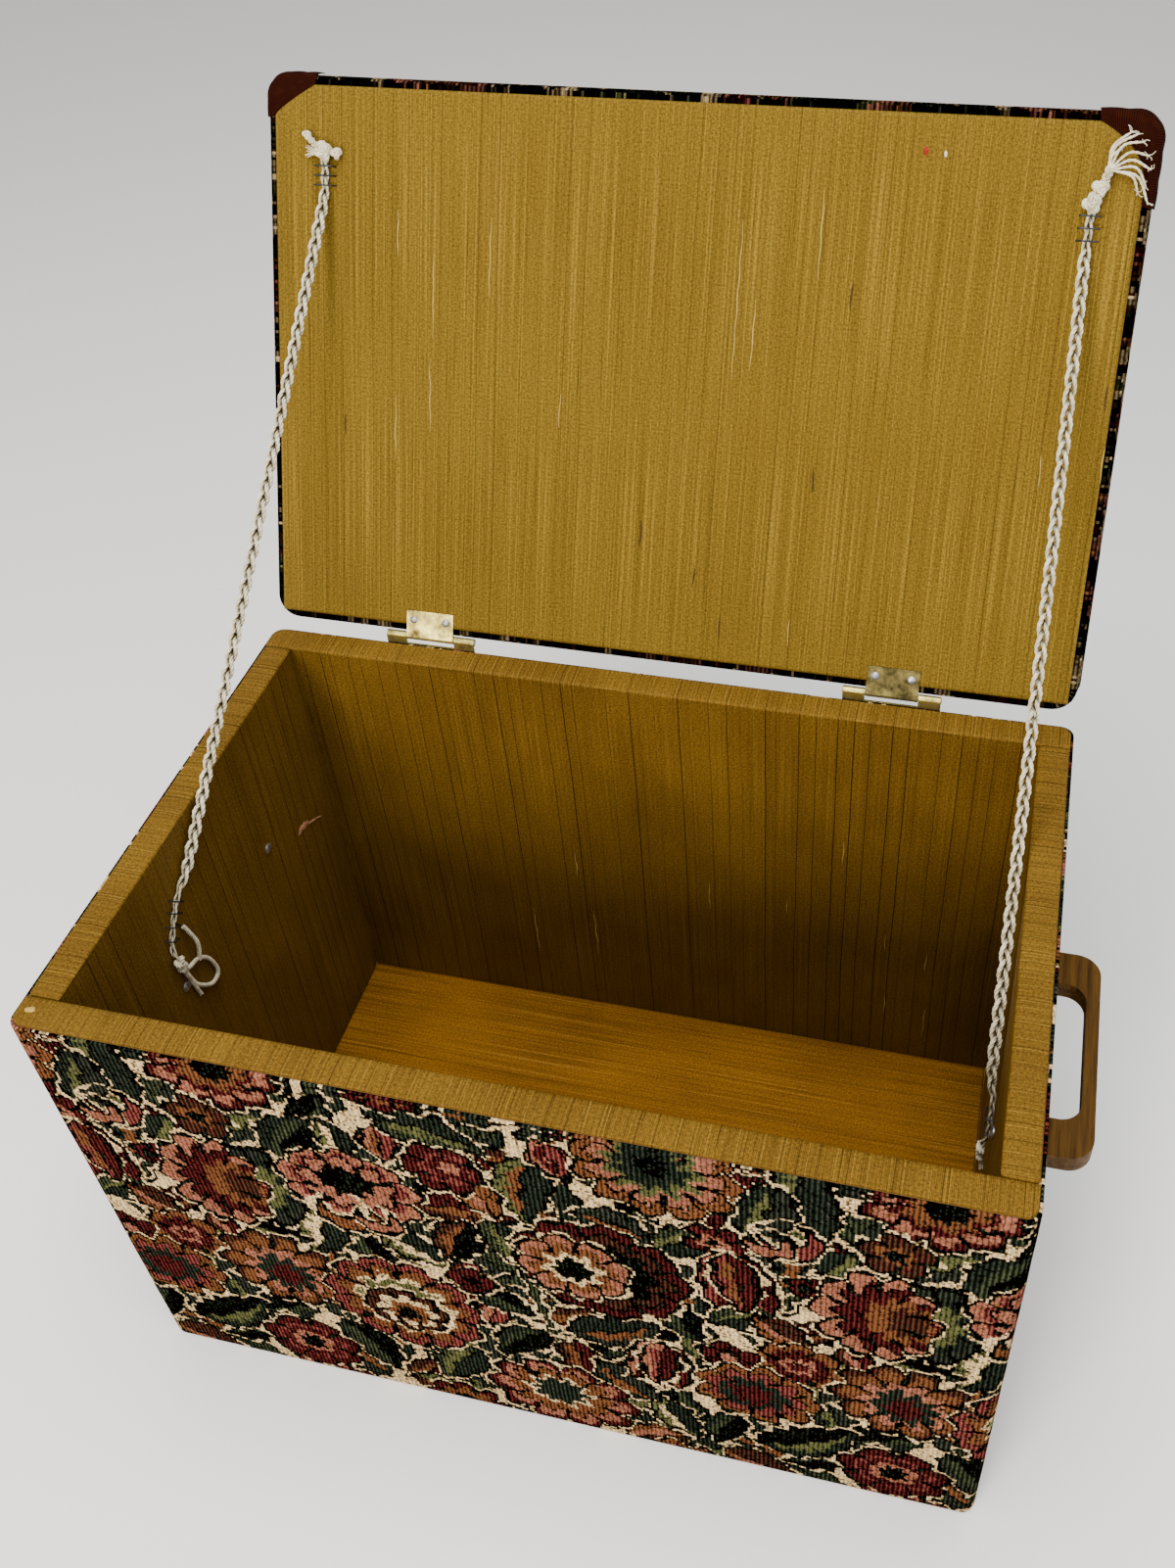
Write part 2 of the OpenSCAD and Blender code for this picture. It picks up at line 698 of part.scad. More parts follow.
front_board();
back_board();
left_board();
right_board();
bottom_board();
front_lining();
back_lining();
left_lining();
right_lining();
floor_panel();
front_cover();
back_cover();
left_cover();
right_cover();
dust_cover();
corner_screws();
bottom_pins();
left_handle();
right_handle();
handle_screws();
left_hinge_box_leaf();
right_hinge_box_leaf();
left_hinge_pin();
right_hinge_pin();
box_leaf_screws();
left_stay_cord();
right_stay_cord();
wall_staples();
left_wall_knot();
right_wall_knot();
lid_board();
lid_padding();
lid_cover();
lid_lining();
left_corner_fold();
right_corner_fold();
left_hinge_lid_leaf();
right_hinge_lid_leaf();
lid_leaf_screws();
lid_staples();
left_lid_knot();
right_lid_knot();
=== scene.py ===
"""Looks of a storage ottoman: tapestry box, gold slub lining, padded lid, plaited stay cords.

Each sub-assembly is a class whose make() adds its pieces to the scene. Shapes are worked out in
millimetres as numpy grids and turned into metres when the mesh is made. The lid is drawn open,
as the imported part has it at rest, through LidPlane.
"""

import json
import logging
import math
from dataclasses import dataclass
from enum import Enum
from typing import Any, Callable, Iterable, Sequence

import bmesh
import bpy
import numpy as np
from mathutils import Matrix, Vector


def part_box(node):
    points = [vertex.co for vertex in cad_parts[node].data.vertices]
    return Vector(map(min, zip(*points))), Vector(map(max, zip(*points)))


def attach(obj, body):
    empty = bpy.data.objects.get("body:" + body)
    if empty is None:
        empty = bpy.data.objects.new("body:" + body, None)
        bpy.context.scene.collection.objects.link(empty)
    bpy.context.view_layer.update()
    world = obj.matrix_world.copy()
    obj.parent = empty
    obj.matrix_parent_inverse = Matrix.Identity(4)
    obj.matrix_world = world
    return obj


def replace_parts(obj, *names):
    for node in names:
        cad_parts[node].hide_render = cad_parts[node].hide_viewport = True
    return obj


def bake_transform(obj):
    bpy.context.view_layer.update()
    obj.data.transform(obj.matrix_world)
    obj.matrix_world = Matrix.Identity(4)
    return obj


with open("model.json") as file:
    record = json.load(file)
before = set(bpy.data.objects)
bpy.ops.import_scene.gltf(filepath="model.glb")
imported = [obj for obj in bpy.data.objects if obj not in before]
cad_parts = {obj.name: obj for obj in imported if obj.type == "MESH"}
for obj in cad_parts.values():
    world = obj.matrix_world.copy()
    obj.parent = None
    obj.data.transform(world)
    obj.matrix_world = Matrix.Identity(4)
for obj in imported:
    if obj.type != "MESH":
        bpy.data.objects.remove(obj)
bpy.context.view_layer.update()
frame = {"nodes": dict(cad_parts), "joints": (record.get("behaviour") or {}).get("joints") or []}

logging.basicConfig(level=logging.INFO, format="%(levelname)s %(message)s")
LOG = logging.getLogger("ottoman")

Array = np.ndarray
Values = dict[Any, Any] | None
MM = 0.001
BOX, LID = "box", "lid"
SEED = 1977


def linear(code: str) -> tuple[float, float, float, float]:
    """Turns an sRGB hex code such as "#C9B99A" into linear RGBA by the sRGB curve, alpha 1."""
    parts = [int(code[i : i + 2], 16) / 255 for i in (1, 3, 5)]
    return (*[c / 12.92 if c <= 0.04045 else ((c + 0.055) / 1.055) ** 2.4 for c in parts], 1.0)


def box_mm(node: str) -> tuple[Array, Array]:
    """Lowest and highest corner of a CAD node, in millimetres."""
    lo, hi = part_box(node)
    return np.array(lo) / MM, np.array(hi) / MM


def unit(v: Array) -> Array:
    """Rows of v scaled to length one."""
    return v / np.maximum(np.linalg.norm(v, axis=-1, keepdims=True), 1e-9)


def walked(line: Array) -> Array:
    """Distance walked along a line of points up to each of them, from 0."""
    return np.concatenate([[0], np.cumsum(np.linalg.norm(np.diff(line, axis=0), axis=1))])


def read_grid(table: Array, i: Array, j: Array, fi: Any, fj: Any) -> Array:
    """Table values at rows j and columns i, mixed with the next ones by the shares fj and fi.

    Args:
        table: values, one row for each j.
        i: column numbers, which wrap round.
        j: row numbers, which wrap round.
        fi: shares of the next column.
        fj: shares of the next row.
    Returns:
        The mixed values.
    """
    rows, cols = table.shape
    here, right = i % cols, (i + 1) % cols
    top, low = (table[k % rows, here] * (1 - fi) + table[k % rows, right] * fi for k in (j, j + 1))
    return top * (1 - fj) + low * fj


def square_to(path: Array, across: Any, closed: bool = False) -> tuple[Array, Array]:
    """Two directions square to a path at each of its points.

    Args:
        path: (N, 3) points.
        across: reference vector clear of the path's direction, one or one per point.
        closed: the last point leads back to the first.
    Returns:
        The path's direction crossed with the reference, and that direction crossed with it.
    """
    ahead = unit(np.roll(path, -1, 0) - np.roll(path, 1, 0) if closed else np.gradient(path, axis=0))
    side = unit(np.cross(ahead, np.broadcast_to(np.asarray(across, float), path.shape)))
    return side, np.cross(ahead, side)


def spaced(lo: float, hi: float, step: float) -> Array:
    """Even values from lo to hi, both included, about one step apart."""
    return np.linspace(lo, hi, max(2, int(round(abs(hi - lo) / step)) + 1))


def resample(points: Array, step: float) -> Array:
    """Smooth curve through the points, sampled about one step apart.

    A Catmull-Rom spline is drawn through the points, and its arc length is divided evenly.

    Args:
        points: (N, D) control points.
        step: distance between two samples.
    Returns:
        (M, D) samples, first and last on the end points.
    """
    p = np.vstack([2 * points[0] - points[1], points, 2 * points[-1] - points[-2]])
    t = np.linspace(0, 1, 17)[:-1, None]
    parts = [
        0.5 * (2 * b + (c - a) * t + (2 * a - 5 * b + 4 * c - d) * t**2 + (3 * b - a - 3 * c + d) * t**3)
        for a, b, c, d in zip(p[:-3], p[1:-2], p[2:-1], p[3:])
    ]
    dense = np.vstack([*parts, points[-1:]])
    run = walked(dense[:, :3])
    at = spaced(0, run[-1], step)
    return np.stack([np.interp(at, run, dense[:, k]) for k in range(dense.shape[1])], -1)


def value_noise(u: Array, v: Array, scale: float, seed: int) -> Array:
    """Smooth noise from -1 to 1: random values on a lattice of the given scale, blended between.

    Args:
        u: first coordinate of each point.
        v: second coordinate.
        scale: spacing of the lattice.
        seed: seed of its values.
    Returns:
        Noise at each point.
    """
    table = np.random.default_rng(seed).uniform(-1, 1, (64, 64))
    x, y = u / scale, v / scale
    i, j = np.floor(x).astype(int), np.floor(y).astype(int)
    fx, fy = x - i, y - j
    fx, fy = fx * fx * (3 - 2 * fx), fy * fy * (3 - 2 * fy)
    return read_grid(table.T, i, j, fx, fy)


class Surface:
    """Collects grids, rings and caps of one piece in millimetres and makes one mesh of them."""

    BAND_DYE = 0.2
    # Painted shade of a tube's hollows: black up to DARK_TO of the reach, white from LIGHT_FROM on.
    DARK_TO, LIGHT_FROM = 0.34, 0.76

    def __init__(self) -> None:
        """Starts with no faces."""
        self.points: list[Array] = []
        self.corners: list[Array] = []
        self.sizes: list[Array] = []
        self.uvs: list[Array] = []
        self.dyes: list[Array] = []
        self.total = 0

    def grid(
        self,
        points: Array,
        wrap_rows: bool = False,
        wrap_cols: bool = False,
        uv: Array | None = None,
        dye: Array | None = None,
    ) -> Array:
        """Adds quads over a grid of points. Their face side is columns crossed with rows.

        Args:
            points: (R, C, 3) points.
            wrap_rows: joins the last row to the first.
            wrap_cols: joins the last column to the first.
            uv: (rows of quads + 1, columns of quads + 1, 2) weave coordinates in millimetres.
            dye: (rows of quads, columns of quads, 3) linear colours.
        Returns:
            (R, C) vertex numbers.
        """
        rows, cols = points.shape[:2]
        ids = np.arange(rows * cols).reshape(rows, cols) + self.total
        self.points.append(points.reshape(-1, 3))
        self.total += rows * cols
        r = np.arange(rows if wrap_rows else rows - 1)
        c = np.arange(cols if wrap_cols else cols - 1)
        r2, c2 = (r + 1) % rows, (c + 1) % cols
        quads = np.stack([ids[np.ix_(*p)] for p in ((r, c), (r, c2), (r2, c2), (r2, c))], -1)
        count = len(r) * len(c)
        self.corners.append(quads.ravel())
        self.sizes.append(np.full(count, 4))
        if uv is None:
            uv = np.zeros((len(r) + 1, len(c) + 1, 2))
        self.uvs.append(np.stack([uv[:-1, :-1], uv[:-1, 1:], uv[1:, 1:], uv[1:, :-1]], 2).reshape(-1, 2))
        shade = np.ones((len(r), len(c), 3)) if dye is None else dye
        self.dyes.append(np.repeat(shade.reshape(-1, 3), 4, axis=0))
        return ids

    def cap(self, ids: Array, dye: Sequence[float] = (1, 1, 1)) -> None:
        """Closes a ring of vertex numbers with one flat face.

        Args:
            ids: vertex numbers in order round the ring.
            dye: dye attribute of the face.
        """
        self.corners.append(ids)
        self.sizes.append(np.array([len(ids)]))
        self.uvs.append(np.zeros((len(ids), 2)))
        self.dyes.append(np.tile(np.asarray(dye, float), (len(ids), 1)))

    def band(self, points: Array, u: Array, v: Array, dye: Array | None = None) -> None:
        """Adds a cloth whose rows close round its section, and caps its two ends.

        Args:
            points: (R, C, 3) points, a row for each place on the section.
            u: weave coordinate of each column.
            v: weave coordinate of each row, and of the first one met again.
            dye: (R, columns of quads, 3) linear colours.
        """
        ids = self.grid(points, wrap_rows=True, uv=np.dstack(np.meshgrid(u, v)), dye=dye)
        white = (1, 1, 1)
        first, last = (white, white) if dye is None else (dye[0, 0], dye[0, -1])
        self.cap(ids[:, 0], first)
        self.cap(ids[::-1, -1], last)

    @staticmethod
    def border(ids: Array) -> Array:
        """Vertex numbers round the edge of an open grid."""
        return np.concatenate([ids[0, :-1], ids[:-1, -1], ids[-1, :0:-1], ids[:0:-1, 0]])

    def skirt(self, ring: Array, points: Array) -> Array:
        """Joins the border of a grid to a ring of as many new points.

        Args:
            ring: vertex numbers of the border.
            points: the new points.
        Returns:
            Vertex numbers of the new points.
        """
        new = np.arange(len(points)) + self.total
        self.points.append(points)
        self.total += len(points)
        self.join(ring, new)
        return new

    def join(self, ring: Array, other: Array) -> None:
        """Joins two rings of as many vertices with a band of quads.

        Args:
            ring: vertex numbers of the first ring.
            other: those of the second, in step.
        """
        quads = np.stack([ring, other, np.roll(other, -1), np.roll(ring, -1)], -1)
        self.corners.append(quads.ravel())
        self.sizes.append(np.full(len(quads), 4))
        self.uvs.append(np.zeros((quads.size, 2)))
        self.dyes.append(np.full((quads.size, 3), self.BAND_DYE))

    def tube(
        self,
        path: Array,
        radius: Any,
        sides: int,
        across: Any,
        capped: bool = True,
        core: Array | None = None,
        reach: Any = 1.0,
    ) -> None:
        """Adds a round tube along a path.

        Each ring stands square to the path; its first axis is the path's direction crossed with
        the given reference, so the rings don't twist while the path stays clear of it.

        Args:
            path: (N, 3) centre line.
            radius: one number or one per point.
            sides: corners of a ring.
            across: reference vector, one or one per point.
            capped: closes both ends; a path that returns to its start is wrapped instead.
            core: (N, 3) line that the tube winds round; faces get painted shade by their distance from
            it, the dye attribute black up to the share DARK_TO of the reach and white from LIGHT_FROM on.
            reach: distance from the core to the outside of the bundle, one or one per point.
        """
        side, up = square_to(path, across, not capped)
        turn = np.linspace(0, 2 * math.pi, sides, endpoint=False)
        spread = np.cos(turn)[None, :, None] * side[:, None] + np.sin(turn)[None, :, None] * up[:, None]
        wide = np.broadcast_to(np.asarray(radius, float), (len(path),))
        points = path[:, None] + spread * wide[:, None, None]
        rows = len(path) if capped else len(path) + 1
        around = np.linspace(0, 1, sides + 1) * 2 * math.pi * wide.mean()
        uv = np.dstack(np.meshgrid(around, np.resize(walked(path), rows)))
        dye = None
        # Painted shade: faces near the core, deep between the yarns, get a dark dye, open faces a white one.
        if core is not None:
            middle = (points + np.roll(points, -1, 1)) / 2
            away = np.linalg.norm(middle - core[:, None], axis=2)
            away = away / np.broadcast_to(reach, (len(path),))[:, None]
            light = np.clip((away[: rows - 1] - self.DARK_TO) / (self.LIGHT_FROM - self.DARK_TO), 0, 1)
            dye = np.repeat(light[..., None], 3, axis=2)
        ids = self.grid(points, wrap_rows=not capped, wrap_cols=True, uv=uv, dye=dye)
        if capped:
            self.cap(ids[0][::-1])
            self.cap(ids[-1])

    def make(self, name: str, material: bpy.types.Material, sharp: float = 50) -> bpy.types.Object:
        """Makes the object.

        Faces are turned outward if the shell's volume comes out negative.

        Args:
            name: object name.
            material: finish of the piece.
            sharp: edges that turn more than this many degrees stay sharp.
        Returns:
            The new object, at the origin.
        """
        points, corners = np.concatenate(self.points), np.concatenate(self.corners)
        sizes, uvs, dyes = (np.concatenate(x) for x in (self.sizes, self.uvs, self.dyes))
        starts = np.concatenate([[0], np.cumsum(sizes)[:-1]])
        if self._volume(points, corners, sizes, starts) < 0:
            order = np.repeat(2 * starts + sizes - 1, sizes) - np.arange(len(corners))
            corners, uvs, dyes = corners[order], uvs[order], dyes[order]
        mesh = bpy.data.meshes.new(name)
        mesh.vertices.add(len(points))
        mesh.vertices.foreach_set("co", (points * MM).astype(np.float32).ravel())
        mesh.loops.add(len(corners))
        mesh.loops.foreach_set("vertex_index", corners.astype(np.int32))
        mesh.polygons.add(len(sizes))
        mesh.polygons.foreach_set("loop_start", starts.astype(np.int32))
        mesh.update(calc_edges=True)
        layer = mesh.uv_layers.new(name="weave")
        layer.uv.foreach_set("vector", uvs.astype(np.float32).ravel())
        shades = mesh.color_attributes.new("dye", "BYTE_COLOR", "CORNER")
        colours = np.hstack([dyes, np.ones((len(dyes), 1))])
        shades.data.foreach_set("color", colours.astype(np.float32).ravel())
        mesh.validate()
        mesh.shade_smooth()
        mesh.set_sharp_from_angle(angle=math.radians(sharp))
        mesh.materials.append(material)
        obj = bpy.data.objects.new(name, mesh)
        bpy.context.scene.collection.objects.link(obj)
        LOG.info("%s: %d faces", name, len(sizes))
        return obj

    @staticmethod
    def _volume(points: Array, corners: Array, sizes: Array, starts: Array) -> float:
        """Signed volume of the quads and caps, each fanned from its first corner.

        Args:
            points: place of each vertex.
            corners: vertex number of each face corner.
            sizes: number of corners of each face.
            starts: first corner of each face.
        Returns:
            The volume, negative where faces point inwards.
        """
        quad = corners[(starts[sizes == 4][:, None] + np.arange(4))]
        a, b, c, d = (points[quad[:, k]] for k in range(4))
        total = float(np.einsum("ij,ij->", a, np.cross(b, c)) + np.einsum("ij,ij->", a, np.cross(c, d)))
        for start, size in zip(starts[sizes != 4], sizes[sizes != 4]):
            ring = points[corners[start : start + size]]
            total += float(np.einsum("j,ij->", ring[0], np.cross(ring[1:-1], ring[2:])))
        return total


def add_node(tree: bpy.types.NodeTree, kind: str, settings: Values = None, inputs: Values = None) -> Any:
    """Adds a shader node.

    Args:
        tree: node tree to add to.
        kind: node type name.
        settings: properties of the node.
        inputs: input sockets by name or number, each a plain value or another node's output.
    Returns:
        The new node.
    """
    node = tree.nodes.new(kind)
    for key, value in (settings or {}).items():
        setattr(node, key, value)
    for key, value in (inputs or {}).items():
        if isinstance(value, bpy.types.NodeSocket):
            tree.links.new(value, node.inputs[key])
        else:
            node.inputs[key].default_value = value
    return node


class Shader:
    """Node tree of one material, with short calls for the nodes that the finishes share."""

    def __init__(self, name: str) -> None:
        """Makes the material with a Principled shader on its output.

        Args:
            name: material name.
        """
        self.material = bpy.data.materials.new(name)
        self.material.use_nodes = True
        self.tree = self.material.node_tree
        self.tree.nodes.clear()
        self.surface = self.add("ShaderNodeBsdfPrincipled")
        self.add("ShaderNodeOutputMaterial", inputs={"Surface": self.surface.outputs[0]})

    def add(self, kind: str, settings: Values = None, inputs: Values = None) -> Any:
        """Adds a node to this material."""
        return add_node(self.tree, kind, settings, inputs)

    def weave(self, across: float, along: float) -> Any:
        """Cloth coordinates, one unit for each given number of millimetres."""
        uv = self.add("ShaderNodeUVMap", {"uv_map": "weave"}).outputs[0]
        return self.scaled(uv, (1 / across, 1 / along, 1))

    def solid(self, x: float, y: float, z: float) -> Any:
        """Object coordinates, one unit for each given number of millimetres."""
        co = self.add("ShaderNodeTexCoord").outputs["Object"]
        return self.scaled(co, tuple(1 / (MM * k) for k in (x, y, z)))

    def scaled(self, vector: Any, scale: tuple[float, float, float]) -> Any:
        """A vector with each coordinate multiplied by its own number."""
        return self.add("ShaderNodeVectorMath", {"operation": "MULTIPLY"}, {0: vector, 1: scale}).outputs[0]

    def dye(self) -> Any:
        """Colour painted on the faces: stitch dyes, and painted shade on the cords and the lid's flank."""
        return self.add("ShaderNodeVertexColor", {"layer_name": "dye"}).outputs[0]

    def noise(self, vector: Any, detail: float = 3, roughness: float = 0.6) -> Any:
        """Noise about 0.5, one unit of the vector for each feature."""
        inputs = {"Vector": vector, "Scale": 1.0, "Detail": detail, "Roughness": roughness}
        return self.add("ShaderNodeTexNoise", inputs=inputs).outputs[0]

    def math(self, operation: str, a: Any, b: Any = 0.0) -> Any:
        """One arithmetic step."""
        return self.add("ShaderNodeMath", {"operation": operation}, {0: a, 1: b}).outputs[0]

    def times(self, a: Any, b: Any) -> Any:
        """Product of two values."""
        return self.math("MULTIPLY", a, b)

    def plus(self, a: Any, b: Any) -> Any:
        """Sum of two values."""
        return self.math("ADD", a, b)

    def minus(self, a: Any, b: Any) -> Any:
        """Difference of two values."""
        return self.math("SUBTRACT", a, b)

    def span(self, value: Any, lo: float, hi: float, low: float = 0.0, high: float = 1.0) -> Any:
        """Maps value from lo..hi to low..high and clamps it."""
        inputs = {"Value": value, "From Min": lo, "From Max": hi, "To Min": low, "To Max": high}
        return self.add("ShaderNodeMapRange", inputs=inputs).outputs[0]

    def blend(self, factor: Any, a: Any, b: Any, mode: str = "MIX") -> Any:
        """Mixes two colours, each a socket or a hex code.

        Args:
            factor: number or socket, 0 for a and 1 for b.
            a: first colour.
            b: second colour.
            mode: Blender's blend type.
        Returns:
            Socket of the mixed colour.
        """
        a, b = (linear(k) if isinstance(k, str) else k for k in (a, b))
        settings = {"data_type": "RGBA", "blend_type": mode}
        return self.add("ShaderNodeMix", settings, {0: factor, 6: a, 7: b}).outputs[2]

    def toned(self, colour: Any, tone: Any) -> Any:
        """A colour made lighter or darker by a value."""
        grey = self.add("ShaderNodeCombineColor", inputs={0: tone, 1: tone, 2: tone}).outputs[0]
        return self.blend(1.0, colour, grey, "MULTIPLY")

    def axis(self, vector: Any, name: str) -> Any:
        """One coordinate of a vector."""
        return self.add("ShaderNodeSeparateXYZ", inputs={0: vector}).outputs[name]

    def ridge(self, vector: Any, name: str, wobble: Any = 0.0) -> Any:
        """Round threads side by side: 0 at each whole number of one coordinate, 1 half way between."""
        shifted = self.plus(self.axis(vector, name), wobble)
        return self.math("ABSOLUTE", self.math("SINE", self.times(shifted, math.pi)))

    def bump(self, height: Any, depth: float) -> Any:
        """Normal from a height of 0 to 1 that stands for the given depth in millimetres."""
        inputs = {"Strength": 1.0, "Distance": depth * MM, "Height": height}
        return self.add("ShaderNodeBump", inputs=inputs).outputs[0]

    def finish(self, **sockets: Any) -> bpy.types.Material:
        """Sets the surface's sockets, underscores standing for spaces.

        Args:
            sockets: value or output socket of each input.
        Returns:
            The finished material.
        """
        for key, value in sockets.items():
            socket = self.surface.inputs[key.replace("_", " ")]
            if isinstance(value, bpy.types.NodeSocket):
                self.tree.links.new(value, socket)
            else:
                socket.default_value = value
        return self.material


@dataclass(frozen=True)
class TapestryCloth:
    """Jacquard tapestry: dyed warp threads stand as upright ribs, a dull weft beaten between them.

    The eye gets upright lines: painted shade in the rib valleys, painted highlights of the same dye
    on the rib crests of the dark leaves, grain inside each colour and no shine. The real ribs are
    one stitch wide; here they are two, so that they show.
    """

    rib: float = 2.667

    def make(self) -> bpy.types.Material:
        """Makes the material; the colour of each stitch comes from the dye attribute.

        Returns:
            The material.
        """
        s = Shader("tapestry")
        dye = s.dye()
        light = s.add("ShaderNodeRGBToBW", inputs={0: dye}).outputs[0]
        rib = s.ridge(s.weave(self.rib, 1), "X")
        stitch = s.noise(s.weave(1.1, 0.8), 2, 0.7)
        wear = s.noise(s.weave(70, 90), 3)
        # Painted highlight on the rib crests of dark stitches (thread), painted shade in the rib valleys
        # (gap), deeper on darker dyes.
        dark = s.times(s.span(light, 0.0022, 0.006), s.span(light, 0.02, 0.06, 1.0, 0.0))
        thread = s.times(s.span(rib, 0.72, 1.0, 0.0, 2.4), dark)
        gap = s.times(s.span(rib, 0.0, 0.7, 1.0, 0.0), s.span(light, 0.01, 0.3, 0.85, 0.4))
        tone = s.times(s.minus(s.plus(1.0, thread), gap), s.span(stitch, 0.28, 0.72, 0.45, 1.5))
        tone = s.times(tone, s.span(wear, 0.3, 0.7, 0.88, 1.1))
        height = s.plus(s.times(rib, 0.7), s.times(stitch, 0.5))
        return s.finish(
            Base_Color=s.toned(dye, tone),
            Roughness=0.95,
            Normal=s.bump(height, 0.3),
            Specular_IOR_Level=0.0,
        )


@dataclass(frozen=True)
class SlubCloth:
    """Raw silk look cloth of uneven gold threads: thick and thin places run along each thread.

    The eye gets fine threads of one direction, darker streaks of a few centimetres, pale bits and
    long dark pulled threads. lines is the strength of the pulled threads and streaks that of the
    streaks and pale bits, each a pair: on the rim, and below it on the wall.
    The real threads are finer; here they are 0.8 to 1 mm wide, so that they show.
    """

    name: str = "lining"
    gold: str = "#6B5518"
    low: str = "#654E15"
    deep: str = "#2E2007"
    pale: str = "#A98B34"
    thread: float = 0.8
    lines: tuple[float, float] = (0.4, 0.4)
    streaks: tuple[float, float] = (0.6, 0.6)

    def make(self) -> bpy.types.Material:
        """Makes the material; threads run along the second weave coordinate.

        Returns:
            The material.
        """
        s = Shader(self.name)
        drift = s.times(s.noise(s.weave(9, 150), 1), 1.2)
        thread = s.ridge(s.weave(self.thread, 1), "X", drift)
        fine = s.noise(s.weave(1.0, 170), 0, 0.6)
        streak = s.noise(s.weave(1.2, 75), 1, 0.5)
        cloud = s.noise(s.weave(60, 110), 3)
        weft = s.noise(s.weave(1.5, 1.3), 2, 0.75)
        share = self.past_rim(s, *self.streaks)
        base = s.blend(s.span(cloud, 0.3, 0.7), self.low, self.gold)
        base = s.blend(s.times(s.span(streak, 0.66, 0.74, 0.0, 0.75), share), base, self.deep)
        base = s.blend(s.times(s.span(fine, 0.58, 0.75, 0.0, 0.4), share), base, self.pale)
        base = s.blend(self.pulled(s), base, self.deep)
        tone = s.times(s.span(thread, 0.0, 0.8, 0.6, 1.1), s.span(weft, 0.32, 0.68, 0.5, 1.44))
        slack = s.times(s.span(fine, 0.3, 0.5, 0.36, 0.0), share)
        tone = s.times(tone, s.minus(1.03, slack))
        height = s.plus(s.times(thread, 0.5), s.times(s.span(fine, 0.55, 0.78), 0.8))
        height = s.plus(height, s.times(weft, 0.4))
        return s.finish(
            Base_Color=s.toned(base, tone),
            Roughness=s.span(streak, 0.3, 0.7, 0.5, 0.75),
            Normal=s.bump(height, 0.16),
            Specular_IOR_Level=0.28,
            Specular_Tint=linear("#E8C878"),
        )

    def pulled(self, s: Shader) -> Any:
        """Strength of the long dark threads: one at a random place in each 11 mm of the width.

        Args:
            s: shader of the material.
        Returns:
            Socket of the strength.
        """
        lean = s.times(s.noise(s.weave(400, 160), 1), 0.3)
        place = s.plus(s.axis(s.weave(11, 1), "X"), lean)
        cell = s.math("FLOOR", place)
        pick = s.add("ShaderNodeTexWhiteNoise", {"noise_dimensions": "1D"}, {"W": cell}).outputs["Value"]
        off = s.minus(s.math("FRACT", place), s.span(pick, 0.0, 1.0, 0.2, 0.8))
        strength = s.times(self.past_rim(s, *self.lines), s.span(pick, 0.0, 0.8, 0.3, 1.2))
        return s.times(s.span(s.math("ABSOLUTE", off), 0.02, 0.042, 1.0, 0.0), strength)

    @staticmethod
    def past_rim(s: Shader, rim: float, below: float) -> Any:
        """Value that changes where the rim turns down the wall, 18 to 26 mm from the cloth's edge."""
        return s.span(s.axis(s.weave(1, 1), "Y"), 18.0, 26.0, rim, below)


@dataclass(frozen=True)
class RibbedCloth:
    """Rust brown ribbed cotton round the lid corners: close upright cords, painted shade in the valleys."""

    rib: float = 1.25

    def make(self) -> bpy.types.Material:
        """Makes the material.

        Returns:
            The material.
        """
        s = Shader("corner_cloth")
        rib = s.ridge(s.weave(self.rib, 1), "X")
        grain = s.noise(s.weave(0.8, 0.6), 3, 0.7)
        rub = s.noise(s.weave(9, 7), 3)
        # Painted shade in the rib valleys, lighter on the crests.
        colour = s.blend(s.span(rib, 0.15, 0.8), "#080201", "#2A0C04")
        colour = s.blend(s.span(rub, 0.5, 0.75, 0.0, 0.3), colour, "#40200D")
        height = s.plus(rib, s.times(grain, 0.6))
        normal = s.bump(height, 0.3)
        return s.finish(Base_Color=colour, Roughness=0.88, Normal=normal, Specular_IOR_Level=0.03)


@dataclass(frozen=True)
class Spunbond:
    """Thin black polypropylene fleece under furniture: melted dots in rows and faint tangled fibres."""

    def make(self) -> bpy.types.Material:
        """Makes the material.

        Returns:
            The material.
        """
        s = Shader("dust_cloth")
        place = s.solid(1.6, 1.6, 1.6)
        dots = s.times(s.ridge(place, "X"), s.ridge(place, "Y"))
        fibre = s.noise(s.solid(6, 0.7, 2), 4, 0.7)
        colour = s.blend(s.span(fibre, 0.35, 0.7), "#141416", "#2A2A2D")
        height = s.plus(dots, s.times(fibre, 0.7))
        return s.finish(Base_Color=colour, Roughness=0.7, Normal=s.bump(height, 0.15))


@dataclass(frozen=True)
class Wood:
    """Wood with long grain: pores and rings drawn out along the fibre.

    The eye gets streaks along one axis, dark short pores and a soft satin light.
    """

    name: str
    light: str
    dark: str
    along: tuple[float, float, float]
    rough: float = 0.42

    def make(self) -> bpy.types.Material:
        """Makes the material; along gives the grain's length in millimetres on each axis.

        Returns:
            The material.
        """
        s = Shader(self.name)
        ring = s.noise(s.solid(*self.along), 4, 0.65)
        pore = s.noise(s.solid(*[k * 0.22 for k in self.along]), 2, 0.6)
        patch = s.noise(s.solid(45, 45, 30), 2)
        colour = s.blend(s.span(ring, 0.3, 0.7), self.dark, self.light)
        colour = s.blend(s.span(pore, 0.58, 0.72, 0.0, 0.55), colour, self.dark)
        colour = s.blend(s.span(patch, 0.4, 0.75, 0.0, 0.3), colour, self.dark)
        height = s.minus(ring, s.span(pore, 0.55, 0.7, 0.0, 0.6))
        return s.finish(
            Base_Color=colour,
            Roughness=s.span(ring, 0.3, 0.7, self.rough + 0.12, self.rough),
            Normal=s.bump(height, 0.08),
            Specular_IOR_Level=0.12,
        )


